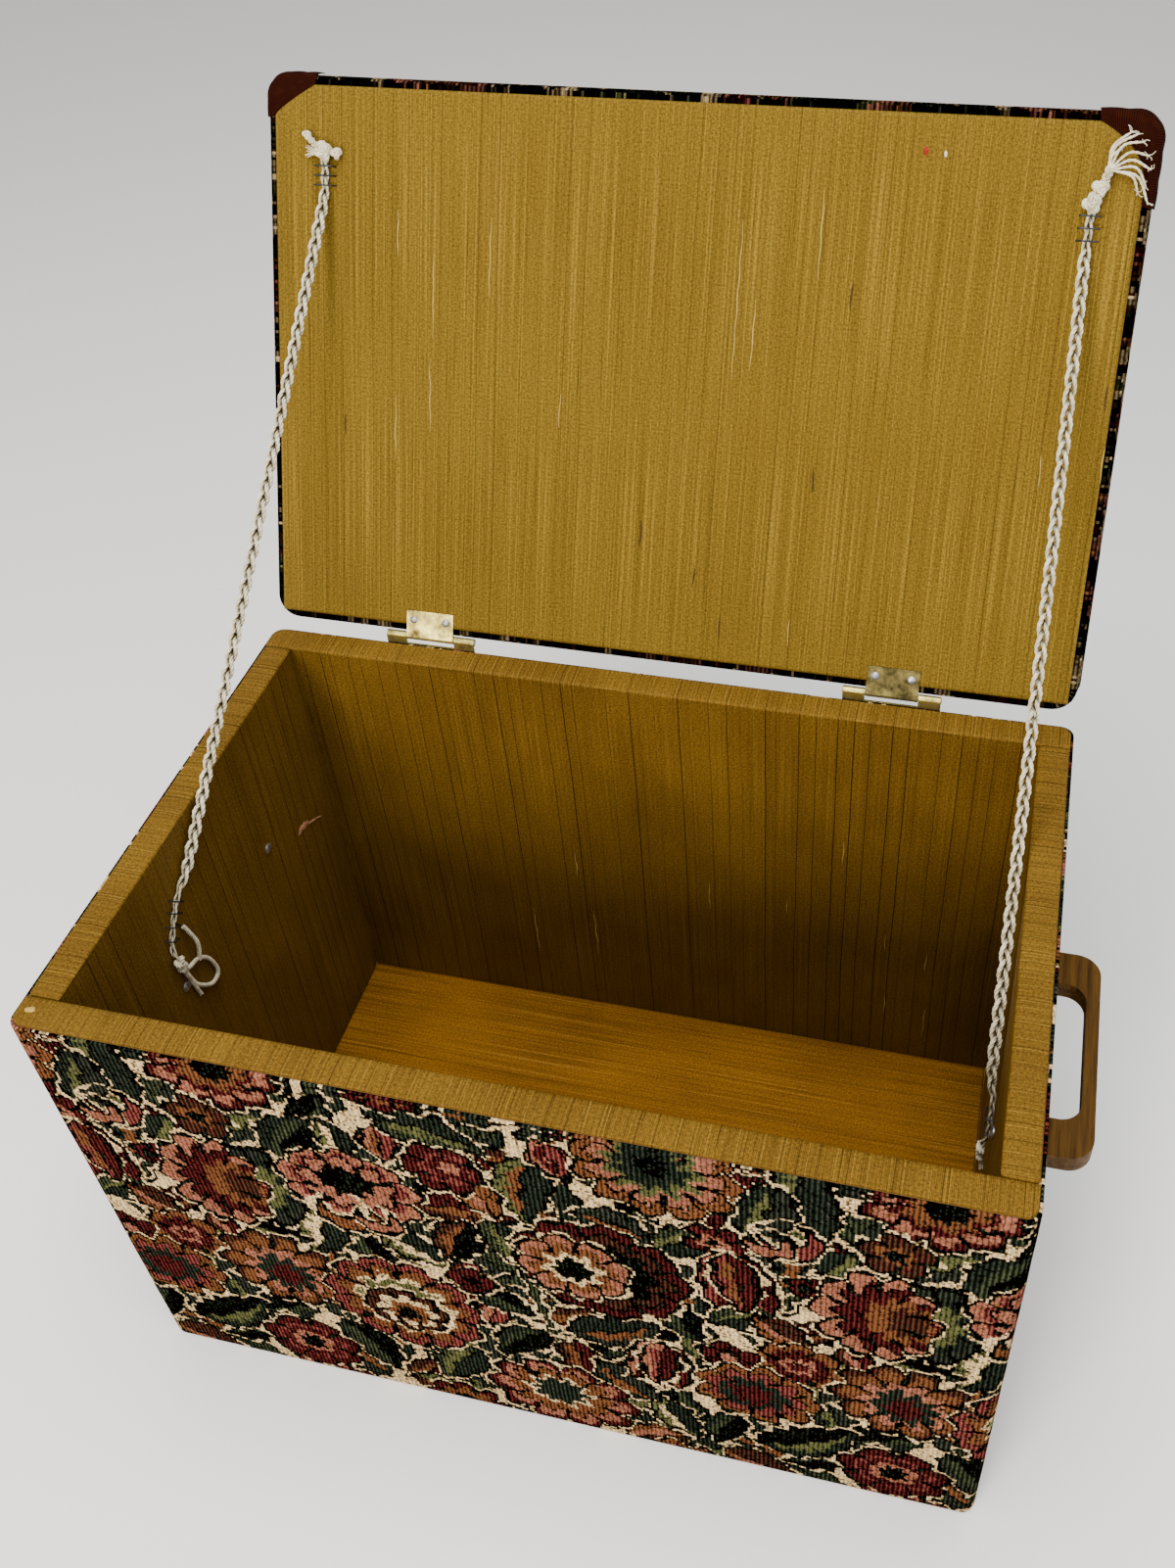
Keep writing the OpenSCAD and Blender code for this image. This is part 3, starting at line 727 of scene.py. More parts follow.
@dataclass(frozen=True)
class Metal:
    """Sheet or turned metal in use: bright where it is rubbed, dull where it has tarnished."""

    name: str
    bright: str
    dull: str
    rough: float = 0.3
    patch: float = 9.0

    def make(self) -> bpy.types.Material:
        """Makes the material.

        Returns:
            The material.
        """
        s = Shader(self.name)
        spots = s.noise(s.solid(self.patch, self.patch, self.patch), 5, 0.65)
        brushed = s.noise(s.solid(8, 8, 0.35), 2)
        stain = s.span(spots, 0.42, 0.66)
        rough = s.span(spots, 0.35, 0.7, self.rough, self.rough + 0.28)
        return s.finish(
            Base_Color=s.blend(stain, self.bright, self.dull),
            Metallic=s.span(stain, 0.0, 1.0, 1.0, 0.82),
            Roughness=s.plus(rough, s.times(brushed, 0.08)),
            Normal=s.bump(brushed, 0.02),
        )


@dataclass(frozen=True)
class CottonYarn:
    """Undyed cotton: matt fibres laid along each yarn, grubby in patches, painted shade in the hollows.

    The dye attribute says how open a face is: black deep between the yarns, white outside.
    It darkens the colour there as painted shade.
    """

    name: str = "cord_cotton"
    pale: str = "#F0E8CC"
    grubby: str = "#94855C"

    def make(self) -> bpy.types.Material:
        """Makes the material.

        Returns:
            The material.
        """
        s = Shader(self.name)
        fibre = s.noise(s.weave(0.16, 1.4), 3, 0.7)
        dirt = s.noise(s.solid(7, 7, 7), 3)
        colour = s.blend(s.span(dirt, 0.35, 0.7, 0.1, 0.65), self.pale, self.grubby)
        colour = s.blend(s.span(fibre, 0.45, 0.75, 0.0, 0.4), colour, "#857650")
        # Painted shade in the hollows between yarns: the dye attribute darkens the colour to #3A2F16.
        colour = s.blend(s.dye(), "#3A2F16", colour)
        normal = s.bump(fibre, 0.06)
        return s.finish(Base_Color=colour, Roughness=0.94, Normal=normal, Specular_IOR_Level=0.1)


@dataclass(frozen=True)
class StudioPaper:
    """Smooth pale paper that the object stands on."""

    def make(self) -> bpy.types.Material:
        """Makes the material.

        Returns:
            The material.
        """
        s = Shader("studio_paper")
        tooth = s.noise(s.solid(3, 3, 3), 2)
        return s.finish(Base_Color=s.blend(tooth, "#F8F8F6", "#FBFBFA"), Roughness=0.85)


class Finishes:
    """Every material of the object, made once."""

    def __init__(self) -> None:
        """Makes the materials."""
        self.tapestry = TapestryCloth().make()
        self.lining = SlubCloth().make()
        self.wall = SlubCloth(
            "wall_lining", "#6E5118", "#5A4012", "#241504", "#94782E", lines=(0.5, 0.8), streaks=(1.0, 0.35)
        ).make()
        self.floor = SlubCloth(
            "floor_lining", "#855716", "#6A420E", "#3A2206", "#A87A30", 1.0, (0.5, 0.5), (0.8, 0.8)
        ).make()
        self.corner = RibbedCloth().make()
        self.dust = Spunbond().make()
        self.handle = Wood("handle_wood", "#684712", "#2C1A04", (3.5, 70, 3.5), 0.5).make()
        self.board = Wood("board", "#B98F55", "#8A6230", (26, 120, 2.2), 0.6).make()
        self.brass = Metal("hinge_brass", "#C9BC70", "#5E4F24", 0.3, 11).make()
        self.tarnished = Metal("hinge_tarnished", "#7C7244", "#40371C", 0.45, 9).make()
        self.steel = Metal("steel", "#B9BBBD", "#77756F", 0.33, 6).make()
        self.wire = Metal("staple_wire", "#45464A", "#1E1D1B", 0.42, 4).make()
        self.cotton = CottonYarn().make()
        self.slub_pale = CottonYarn("slub_pale", "#B59A50", "#8A6E30").make()
        self.slub_dark = CottonYarn("slub_dark", "#40300E", "#281C06").make()
        self.red = CottonYarn("speck_red", "#8E1A14", "#5E0E0A").make()
        self.pink = CottonYarn("scuff_pink", "#A87A5A", "#80502F").make()
        self.paper = StudioPaper().make()


class Plan:
    """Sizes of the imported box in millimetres, read from the frame."""

    def __init__(self) -> None:
        """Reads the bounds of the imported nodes."""
        cover_lo, cover_hi = box_mm("front_cover")
        side_lo, side_hi = box_mm("left_lining")
        front_lo, front_hi = box_mm("front_lining")
        _, panel_hi = box_mm("floor_panel")
        self.half_w: float = cover_hi[0]
        self.half_d: float = -cover_lo[1]
        self.cover_top: float = cover_hi[2]
        self.cover_low: float = cover_lo[2]
        self.board_x: float = -side_lo[0]
        self.board_y: float = -front_lo[1]
        self.face_x: float = -side_hi[0]
        self.face_y: float = -front_hi[1]
        self.rim_z: float = side_hi[2]
        self.wall_z: float = side_lo[2]
        self.floor_z: float = panel_hi[2]
        self.corner_r = 8.0


class LidPlane:
    """The lid's own axes while it stands open, worked out from its hinge.

    x is the box's X, s runs from the hinge axis to the free edge, and h stands out of the lining
    face towards the opening. A point s along and h out has turned with the lid by the open angle.
    """

    OPEN = math.radians(115)
    FACE = 1.35

    def __init__(self) -> None:
        """Takes the hinge axis from the frame and turns the two directions by the open angle."""
        joint = frame["joints"][0]
        self.axis = np.array(joint["pos_m"]) / MM
        self.along = np.array([0, -math.cos(self.OPEN), math.sin(self.OPEN)])
        self.out = np.array([0, -math.sin(self.OPEN), -math.cos(self.OPEN)])

    def at(self, x: Any, s: Any, h: Any) -> Array:
        """Points in the row frame, in millimetres, for lid coordinates of any shared shape.

        Args:
            x: places to the right.
            s: distances from the hinge axis.
            h: distances out of the lining face.
        Returns:
            Points, x, y and z on the last axis.
        """
        x, s, h = np.broadcast_arrays(*(np.asarray(k, float) for k in (x, s, h)))
        base = self.axis + s[..., None] * self.along + (h + self.FACE)[..., None] * self.out
        base[..., 0] = x
        return base

    def route(self, points: Iterable[Sequence[float]]) -> Array:
        """Rows of (x, s, h) as points in the row frame."""
        return self.at(*np.array(list(points), float).T)


class Studio:
    """Camera, soft lights and pale paper floor, none of them part of the object."""

    REACH = 4000
    STAND = (
        (0.97104398, -0.12692934, 0.20239204, 0.20618706),
        (0.23508344, 0.65851924, -0.71490432, -0.52880456),
        (-0.04253672, 0.74178256, 0.66929012, 0.95266964),
        (0, 0, 0, 1),
    )

    def camera(self) -> None:
        """Sets the camera where the photo was taken from, solved from the box's corners."""
        data = bpy.data.cameras.new("photo_camera")
        data.sensor_fit = "VERTICAL"
        data.sensor_width = data.sensor_height = 36
        data.lens = 34.549
        data.shift_x, data.shift_y = -0.05294, -0.04579
        data.clip_start, data.clip_end = 0.05, 20
        eye = bpy.data.objects.new("photo_camera", data)
        eye.matrix_world = Matrix(self.STAND)
        bpy.context.scene.collection.objects.link(eye)
        bpy.context.scene.camera = eye

    def lamp(
        self, name: str, place: Sequence[float], aim: Sequence[float], size: float, power: float, tint: str
    ) -> None:
        """Adds a square soft lamp.

        Args:
            name: lamp name.
            place: where it stands, in metres.
            aim: the point it faces.
            size: side of the square.
            power: watts.
            tint: colour of the light.
        """
        data = bpy.data.lights.new(name, "AREA")
        data.shape, data.size, data.energy = "SQUARE", size, power
        data.color = linear(tint)[:3]
        lamp = bpy.data.objects.new(name, data)
        lamp.location = place
        lamp.rotation_mode = "QUATERNION"
        lamp.rotation_quaternion = (Vector(aim) - Vector(place)).to_track_quat("-Z", "Y")
        bpy.context.scene.collection.objects.link(lamp)

    def light(self) -> None:
        """Lights the box from the front left, low enough that the front wall shades the floor."""
        centre = (0.0, 0.05, 0.3)
        self.lamp("key", (-0.6, -2.1, 1.2), centre, 0.9, 62, "#FFF4E4")
        self.lamp("fill", (1.7, -1.3, 1.3), centre, 1.6, 18, "#F2F4FF")
        self.lamp("top", (0.0, -0.15, 2.3), (0.0, -0.1, 0.0), 1.3, 60, "#FFFFFF")
        world = bpy.data.worlds.new("studio")
        world.use_nodes = True
        back = world.node_tree.nodes["Background"]
        back.inputs[0].default_value = linear("#F4F2EE")
        back.inputs[1].default_value = 0.6
        bpy.context.scene.world = world

    def floor(self, material: bpy.types.Material) -> None:
        """Lays the paper under the object.

        Args:
            material: finish of the paper.
        """
        sheet = Surface()
        x, y = np.meshgrid(*[spaced(-self.REACH, self.REACH, 1000)] * 2)
        sheet.grid(np.stack([x, y, np.zeros_like(x)], -1))
        floor = sheet.make("studio_floor", material)


class Dye(Enum):
    """Thread colours of the tapestry: letter in the charts, colour, letter of its stray threads."""

    CREAM = ("c", "#C2A77A", "d")
    SAND = ("d", "#6E5A3C", "c")
    BLACK = ("k", "#040302", "g")
    GREEN = ("g", "#10150F", "y")
    OLIVE = ("o", "#4C4D2C", "m")
    MOSS = ("m", "#1F2316", "g")
    MAROON = ("w", "#2C0D0C", "k")
    ROSE = ("r", "#4F2420", "w")
    SALMON = ("s", "#865442", "a")
    ORANGE = ("a", "#5C3820", "b")
    BROWN = ("b", "#25150D", "w")
    GREY = ("y", "#191B15", "g")

    def __init__(self, letter: str, colour: str, stray: str) -> None:
        """Takes one row apart."""
        self.letter, self.colour, self.stray = letter, colour, stray


KEY = {dye.letter: dye for dye in Dye}
OUTLINE = 2.7
STRAY = 0.16


class Loom:
    """Weaves one repeat of the cloth as a table of stitches, then hands out stitch colours.

    The repeat is 364 mm wide and 345 mm high and joins itself on all sides. Motifs are laid one
    over another as in a drawing; every place is shifted by a small wave so that edges wander, the
    cream gap round a motif varies in width (gap) and the rings of a flower are ragged (rag).
    """

    WIDE, HIGH = 273, 230
    PITCH = (4 / 3, 1.5)

    def __init__(self) -> None:
        """Sets out the stitches and the waves, sums of sines with whole turns, so that the repeat joins."""
        self.width, self.height = self.WIDE * self.PITCH[0], self.HIGH * self.PITCH[1]
        u = (np.arange(self.WIDE) + 0.5) * self.PITCH[0]
        v = (np.arange(self.HIGH) + 0.5) * self.PITCH[1]
        self.u, self.v = np.meshgrid(u, v)
        a, b = 2 * math.pi * self.u / self.width, 2 * math.pi * self.v / self.height
        sin = np.sin
        self.u = self.u + 1.1 * sin(19 * b + 3 * sin(5 * a)) + 0.7 * sin(37 * a + 11 * b)
        self.v = self.v + 1.1 * sin(23 * a + 3 * sin(7 * b)) + 0.7 * sin(31 * b - 13 * a)
        self.gap = OUTLINE + 1.5 + 1.6 * sin(17 * a + 2 * sin(9 * b)) * sin(15 * b + 2 * sin(7 * a))
        self.rag = 0.035 * sin(61 * a + 5 * sin(43 * b)) * sin(57 * b + 5 * sin(37 * a))
        self.order = list(Dye)
        self.cells = np.zeros((self.HIGH, self.WIDE), int)

    def offset(self, u: float, v: float) -> tuple[Array, Array]:
        """Shortest way of every stitch from a point, across and down, round the repeat.

        Args:
            u: place of the point across.
            v: its place down.
        Returns:
            Tables of the two distances.
        """
        du = (self.u - u + self.width / 2) % self.width - self.width / 2
        dv = (self.v - v + self.height / 2) % self.height - self.height / 2
        return du, dv

    def lay(self, mask: Array, dye: Dye) -> None:
        """Weaves one colour where the mask is true."""
        self.cells[mask] = self.order.index(dye)

    def weave(self, motifs: Iterable[Any]) -> None:
        """Lays the motifs in order, then mixes each stitch a little as real threads do.

        Args:
            motifs: motifs, each with a paint method.
        """
        for motif in motifs:
            motif.paint(self)
        rng = np.random.default_rng(SEED)
        table = np.array([linear(dye.colour)[:3] for dye in self.order])
        partner = np.array([self.order.index(KEY[dye.stray]) for dye in self.order])
        stray = rng.random(self.cells.shape) < STRAY
        picked = np.where(stray, partner[self.cells], self.cells)
        level = rng.normal(1, 0.24, self.cells.shape) * rng.normal(1, 0.08, (1, self.WIDE))
        self.colours = np.clip(table[picked] * np.clip(level, 0.4, 1.7)[..., None], 0, 1)

    def at(self, u: Array, v: Array) -> Array:
        """Linear colour of the stitches under points in millimetres.

        Args:
            u: places across.
            v: places down.
        Returns:
            Linear RGB of each place.
        """
        i = np.floor(v / self.PITCH[1]).astype(int) % self.HIGH
        j = np.floor(u / self.PITCH[0]).astype(int) % self.WIDE
        return self.colours[i, j]


@dataclass(frozen=True)
class Flower:
    """Round flower of scalloped rings, widest first, with short dark gaps between its petals.

    The edge at each angle is one less the depth, plus the depth times the root-like power of the
    petal wave, so petals are round and the gaps between them narrow. Each ring moves towards the
    lean, the inner ones most, so that the heart sits off the middle. Inner rings also reach out
    along each petal by a ray, the ray's length times the third power of the wave. A ring is
    written as its dye's letter and the hundredths of the flower's size that it reaches.
    """

    u: float
    v: float
    wide: float
    high: float
    petals: int
    rings: str
    depth: float = 0.25
    turn: float = 0.0
    lean: tuple[float, float] = (0.0, 0.0)
    GAP_FROM, GAP_HALF, RAY = 0.6, 1.5, 0.07

    def share(self, loom: Loom, limit: float) -> tuple[Array, Array]:
        """Distance from the ring's own middle over the flower's edge there, and the petal wave.

        Args:
            loom: loom that gives the distances.
            limit: limit of the ring, 1 at the flower's edge.
        Returns:
            Share and wave of every stitch.
        """
        du, dv = loom.offset(self.u + self.lean[0] * (1 - limit), self.v + self.lean[1] * (1 - limit))
        far = np.hypot(du / self.wide, dv / self.high)
        angle = np.arctan2(dv / self.high, du / self.wide) + math.radians(self.turn)
        wave = np.abs(np.cos(self.petals * angle / 2))
        return far / (1 - self.depth + self.depth * wave**0.6), wave

    def paint(self, loom: Loom) -> None:
        """Lays the flower.

        Args:
            loom: loom to weave on.
        """
        size = min(self.wide, self.high)
        outer, petal = self.share(loom, 1)
        loom.lay(outer < 1 + loom.gap / size, Dye.CREAM)
        loom.lay(outer < 1 + OUTLINE / size, Dye.BLACK)
        for ring in self.rings.split():
            dye, limit = KEY[ring[0]], int(ring[1:]) / 100
            share, wave = self.share(loom, limit)
            ray = self.RAY * wave**3 * (limit < 1)
            loom.lay(share + loom.rag * (limit < 1) < limit + ray, dye)
        away = 2 / self.petals * np.arcsin(petal) * outer * size
        loom.lay((away < self.GAP_HALF) & (outer <= 1) & (outer > self.GAP_FROM), Dye.BLACK)


@dataclass(frozen=True)
class Leaf:
    """Pointed leaf with a bent middle line, toothed edge, two sides, a core and black veins.

    The half width at t along the leaf follows a sine bow, fuller near the stalk, and small teeth
    ride on it. turn is the way it points, in degrees from right towards down; dyes has the
    letters of the two sides and the core. BOW is the power of t in the bow, TOOTH the height of a
    tooth over the half width.
    """

    u: float
    v: float
    long: float
    wide: float
    turn: float
    dyes: str
    bend: float = 0.0
    teeth: int = 5
    BOW, TOOTH = 0.8, 0.2

    def paint(self, loom: Loom) -> None:
        """Lays the leaf.

        Args:
            loom: loom to weave on.
        """
        du, dv = loom.offset(self.u, self.v)
        a = math.radians(self.turn)
        t = (du * math.cos(a) + dv * math.sin(a)) / self.long + 0.5
        across = -du * math.sin(a) + dv * math.cos(a) - self.bend * (4 * t * (1 - t) - 0.5)
        inside = np.clip(t, 0, 1)
        tooth = 1 + self.TOOTH * np.abs(np.sin(math.pi * self.teeth * inside))
        half = self.wide / 2 * np.sin(math.pi * inside**self.BOW) ** 0.8 * tooth
        for rim, dye in ((loom.gap, Dye.CREAM), (OUTLINE, Dye.BLACK)):
            tip = rim / self.long
            loom.lay((np.abs(across) < half + rim) & (t > -tip) & (t < 1 + tip), dye)
        within = (np.abs(across) < half) & (t > 0) & (t < 1)
        one, other, core = (KEY[letter] for letter in self.dyes)
        loom.lay(within & (across >= 0), one)
        loom.lay(within & (across < 0), other)
        pulse = np.abs(np.sin(math.pi * (self.teeth + 2) * t))
        streak = np.abs(across - 0.3 * half) < half * (0.1 + 0.24 * pulse)
        loom.lay(streak & (t > 0.14) & (t < 0.88), core)
        ribs = np.abs(np.sin(math.pi * (1.4 * self.teeth * t - np.abs(across) / 9))) < 0.24
        vein = (np.abs(across) < 0.75) & (t > 0.02) & (t < 0.9)
        loom.lay(within & ribs & ~streak, Dye.BLACK)
        loom.lay(vein, Dye.BLACK)


@dataclass(frozen=True)
class Crescent:
    """Moon-shaped petal: what is left of one disc when a second one is taken off it."""

    u: float
    v: float
    radius: float
    turn: float
    dye: str
    cut: float = 0.55

    def paint(self, loom: Loom) -> None:
        """Lays the crescent.

        Args:
            loom: loom to weave on.
        """
        a, shift = math.radians(self.turn), self.cut * self.radius
        du, dv = loom.offset(self.u, self.v)
        far = np.hypot(du, dv)
        inner = np.hypot(du + shift * math.cos(a), dv + shift * math.sin(a))
        for rim, dye in ((loom.gap, Dye.CREAM), (OUTLINE, Dye.BLACK)):
            loom.lay((far < self.radius + rim) & (inner > self.radius * 0.95 - rim), dye)
        loom.lay((far < self.radius) & (inner > self.radius * 0.95), KEY[self.dye])


@dataclass(frozen=True)
class Stem:
    """Thin stalk through some points."""

    points: tuple[tuple[float, float], ...]

    def paint(self, loom: Loom) -> None:
        """Lays the stalk.

        Args:
            loom: loom to weave on.
        """
        near = np.full(loom.u.shape, np.inf)
        for (u0, v0), (u1, v1) in zip(self.points, self.points[1:]):
            du, dv = loom.offset(u0, v0)
            way = np.array([u1 - u0, v1 - v0])
            t = np.clip((du * way[0] + dv * way[1]) / (way @ way), 0, 1)
            near = np.minimum(near, np.hypot(du - t * way[0], dv - t * way[1]))
        for reach, dye in ((0.5 + loom.gap, Dye.CREAM), (2.6, Dye.BLACK), (1.2, Dye.MOSS)):
            loom.lay(near < reach, dye)


@dataclass(frozen=True)
class Tulip:
    """Upright cup of three pointed petals with a striped middle one."""

    u: float
    v: float
    wide: float
    high: float
    turn: float
    dyes: str

    def paint(self, loom: Loom) -> None:
        """Lays the side petals and then the middle one.

        Args:
            loom: loom to weave on.
        """
        a = math.radians(self.turn)
        for side in (-1, 1, 0):
            u = self.u - math.sin(a) * side * self.wide * 0.26
            v = self.v + math.cos(a) * side * self.wide * 0.26
            petal = self.dyes if side == 0 else self.dyes[:2] + self.dyes[0]
            Leaf(u, v, self.high, self.wide * 0.62, self.turn + 9 * side, petal, -3 * side, 0).paint(loom)


def filler() -> list[Leaf]:
    """Small leaves strewn between the flowers, on a shaken grid.

    Returns:
        The leaves.
    """
    rng = np.random.default_rng(SEED + 1)
    looks = ("gyo", "gkm", "mgo", "gya", "bwa", "gmy")
    leaves = []
    rows, cols = 11, 10
    for row in range(rows):
        for col in range(cols):
            u = (col + 0.5 * (row % 2) + rng.uniform(-0.3, 0.3)) * 364 / cols
            v = (row + rng.uniform(-0.3, 0.3)) * 345 / rows
            long, turn = rng.uniform(36, 60), rng.uniform(0, 360)
            look = looks[rng.integers(len(looks))]
            wide = long * rng.uniform(0.38, 0.5)
            leaves.append(Leaf(u, v, long, wide, turn, look, rng.uniform(-4, 4)))
    return leaves


LEAVES = (
    (50, 32, 71, 32, 84, "mgo", 4, 6), (30, 40, 56, 23, 108, "gyo", -3, 5),
    (67, 72, 28, 22, -62, "mgo", 0, 0), (147, 60, 58, 29, 118, "gkm", 5, 6),
    (173, 48, 32, 17, 75, "ogc", 0, 4), (198, 44, 30, 20, 92, "sra", 0, 0),
    (227, 25, 56, 25, 12, "mgo", -5, 6), (273, 60, 63, 25, 98, "oga", 3, 6),
    (290, 28, 32, 22, 70, "srw", 0, 0), (247, 79, 32, 22, 66, "aas", 0, 0),
    (22, 150, 45, 21, 162, "mgo", 3, 5), (41, 155, 37, 20, 40, "abs", 2, 4),
    (143, 152, 50, 25, 102, "ogc", -4, 5), (200, 145, 52, 23, 38, "ogc", 4, 5),
    (228, 130, 48, 22, 110, "bka", 3, 5), (256, 120, 43, 22, 75, "mgo", -3, 5),
    (230, 163, 24, 18, 60, "wrs", 0, 0), (237, 207, 26, 20, 100, "wrs", 0, 0),
    (246, 186, 39, 20, 35, "gkm", 3, 5), (311, 194, 58, 27, -28, "yga", 4, 6),
    (252, 234, 48, 21, 128, "gkm", 3, 5), (287, 240, 41, 23, 84, "bwa", 0, 0),
    (315, 258, 52, 23, 46, "gya", 4, 6), (57, 281, 67, 29, -38, "gko", 5, 7),
    (150, 284, 58, 26, 64, "ykm", -4, 6), (208, 283, 54, 25, 118, "mgo", 4, 6),
    (197, 322, 52, 22, 8, "boa", 3, 5), (28, 328, 43, 25, 20, "abs", 3, 5),
    (327, 326, 45, 25, 150, "abs", 3, 5), (343, 290, 45, 21, 66, "ogc", 3, 5),
    (8, 290, 41, 20, 110, "gkm", 3, 5), (350, 165, 41, 20, 70, "gkm", 3, 5),
    (352, 84, 43, 22, 140, "mgo", 3, 5), (318, 78, 41, 20, 20, "gya", -3, 5),
    (110, 160, 48, 22, 14, "gko", 4, 6), (80, 168, 28, 18, 66, "bws", 0, 0),
    (132, 96, 37, 18, 70, "ygo", 3, 4),
)


def motifs() -> list[Any]:
    """The drawn motifs of the repeat, back to front, placed from the photo's front wall.

    Returns:
        The motifs in the order of weaving.
    """
    stems = [
        Stem(((263, 143), (268, 180), (273, 213))),
        Stem(((67, 84), (53, 100), (40, 130))),
        Stem(((198, 60), (186, 78))),
        Stem(((140, 250), (150, 280), (163, 300))),
        Stem(((310, 197), (285, 205), (273, 213), (257, 230))),
        Stem(((20, 165), (30, 180))),
    ]
    flowers = [
        Flower(112, 8, 36, 31, 9, "w100 s84 w66 a50 k30", lean=(3, -4)),
        Crescent(43, 60, 16, 60, "r"),
        Crescent(34, 66, 11, 70, "s"),
        Flower(95, 53, 18, 18, 5, "b100 a50 k30", 0.3, 20),
        Flower(6, 75, 15, 15, 5, "w100 s50 k24", 0.34, -18),
        Tulip(17, 112, 36, 56, 82, "rwa"),
        Flower(53, 102, 10, 10, 4, "w100 k40", 0.3, 45),
        Flower(119, 113, 22, 38, 9, "y100 g74 o50", 0.14, 0),
        Flower(88, 117, 32, 43, 10, "s100 k80 w76 a52 b32", lean=(24, 0)),
        Flower(172, 95, 40, 35, 9, "s100 r80 k70 s64 k40", 0.16, 10, lean=(-3, -10)),
        Crescent(165, 124, 17, 90, "a", 0.6),
        Crescent(183, 125, 12, 80, "s", 0.6),
        Flower(230, 57, 21, 21, 6, "w100 r70 w50 s24", 0.22, lean=(5, -3)),
        Flower(342, 20, 42, 40, 11, "a100 k80 s76 o58 g42 k20", lean=(-2, -6)),
        Flower(307, 130, 48, 47, 9, "w100 k82 b76 k62", 0.14),
        Flower(292, 132, 31, 31, 8, "s100 a76 c50 k36", 0.2, 12, lean=(0, 3)),
        Flower(50, 190, 25, 25, 8, "a100 w70 s36 w20", 0.24, 0),
        Flower(12, 197, 16, 16, 5, "w100 k50 s28", 0.32, 30),
        Flower(27, 235, 35, 33, 9, "a100 k80 r76 g56 w34", lean=(-4, 3)),
        Flower(107, 207, 38, 41, 10, "b100 a86 k66 s62 g46 w26", lean=(2, 10)),
        Flower(182, 219, 47, 50, 11, "r100 k84 a80 c62 o54", 0.15, 6),
        Flower(182, 226, 25, 23, 8, "b100 c74 a50 k30", 0.18, lean=(2, 6)),
        Tulip(335, 224, 34, 50, 96, "swr"),
        Flower(107, 300, 31, 29, 7, "w100 r72 w60 s40 k26", 0.16, 15),
        Flower(272, 295, 46, 41, 10, "w100 s84 k70 a66 c44 g36", lean=(-3, -8)),
        Flower(205, 335, 26, 22, 8, "w100 a74 k40", lean=(0, 3)),
        Flower(230, 172, 13, 13, 4, "w100 k40", 0.3),
    ]
    leaves = [Leaf(*row) for row in LEAVES]
    return [*filler(), *stems, *leaves, *flowers]


def add_rope(
    surface: Surface, path: Array, across: Any, spread: float, yarn: float, pitch: float, closed: bool = False
) -> None:
    """Adds three yarns twisted round a path.

    Each yarn keeps the spread's distance from the path and turns once round it every pitch; on a
    closed path the number of turns is rounded so that the yarns meet themselves.

    Args:
        surface: what to add to.
        path: (N, 3) centre line, last point not repeated when closed.
        across: reference vector clear of the path's direction.
        spread: distance of each yarn from the path, one number.
        yarn: radius of a yarn.
        pitch: length of one turn.
        closed: joins the end to the start.
    """
    side, up = square_to(path, across, closed)
    step = np.linalg.norm(np.roll(path, -1, 0) - path, axis=1)
    run = np.concatenate([[0], np.cumsum(step)[:-1]])
    turns = max(1, round(step.sum() / pitch)) / step.sum() if closed else 1 / pitch
    for k in range(3):
        angle = 2 * math.pi * (run * turns + k / 3)
        line = path + spread * (np.cos(angle)[:, None] * side + np.sin(angle)[:, None] * up)
        # Painted shade: each yarn darkens where it turns in towards the rope's centre line.
        surface.tube(line, yarn, 6, across, not closed, path, spread + yarn)


def add_knot(
    surface: Surface, centre: Array, axes: Array, radius: float, rope: float, turn: float = 0.0
) -> None:
    """Adds a pulled knot: a trefoil of twisted rope.

    The trefoil runs through (sin t + 2 sin 2t, cos t - 2 cos 2t, -1.1 sin 3t), scaled so that its
    outside reaches the radius, and lies on the first two axes.

    Args:
        surface: what to add to.
        centre: middle of the knot.
        axes: three rows, the knot's plane and its normal.
        radius: outside radius.
        rope: radius of the rope.
        turn: turn in the plane, in degrees.
    """
    t = np.linspace(0, 2 * math.pi, 90, endpoint=False)
    flat = np.stack([np.sin(t) + 2 * np.sin(2 * t), np.cos(t) - 2 * np.cos(2 * t), -1.1 * np.sin(3 * t)], -1)
    a = math.radians(turn)
    spin = np.array([[math.cos(a), math.sin(a), 0], [-math.sin(a), math.cos(a), 0], [0, 0, 1]])
    path = centre + flat @ spin * (radius - rope) / 3 @ axes
    add_rope(surface, path, axes[2], rope * 0.52, rope * 0.52, 7, closed=True)


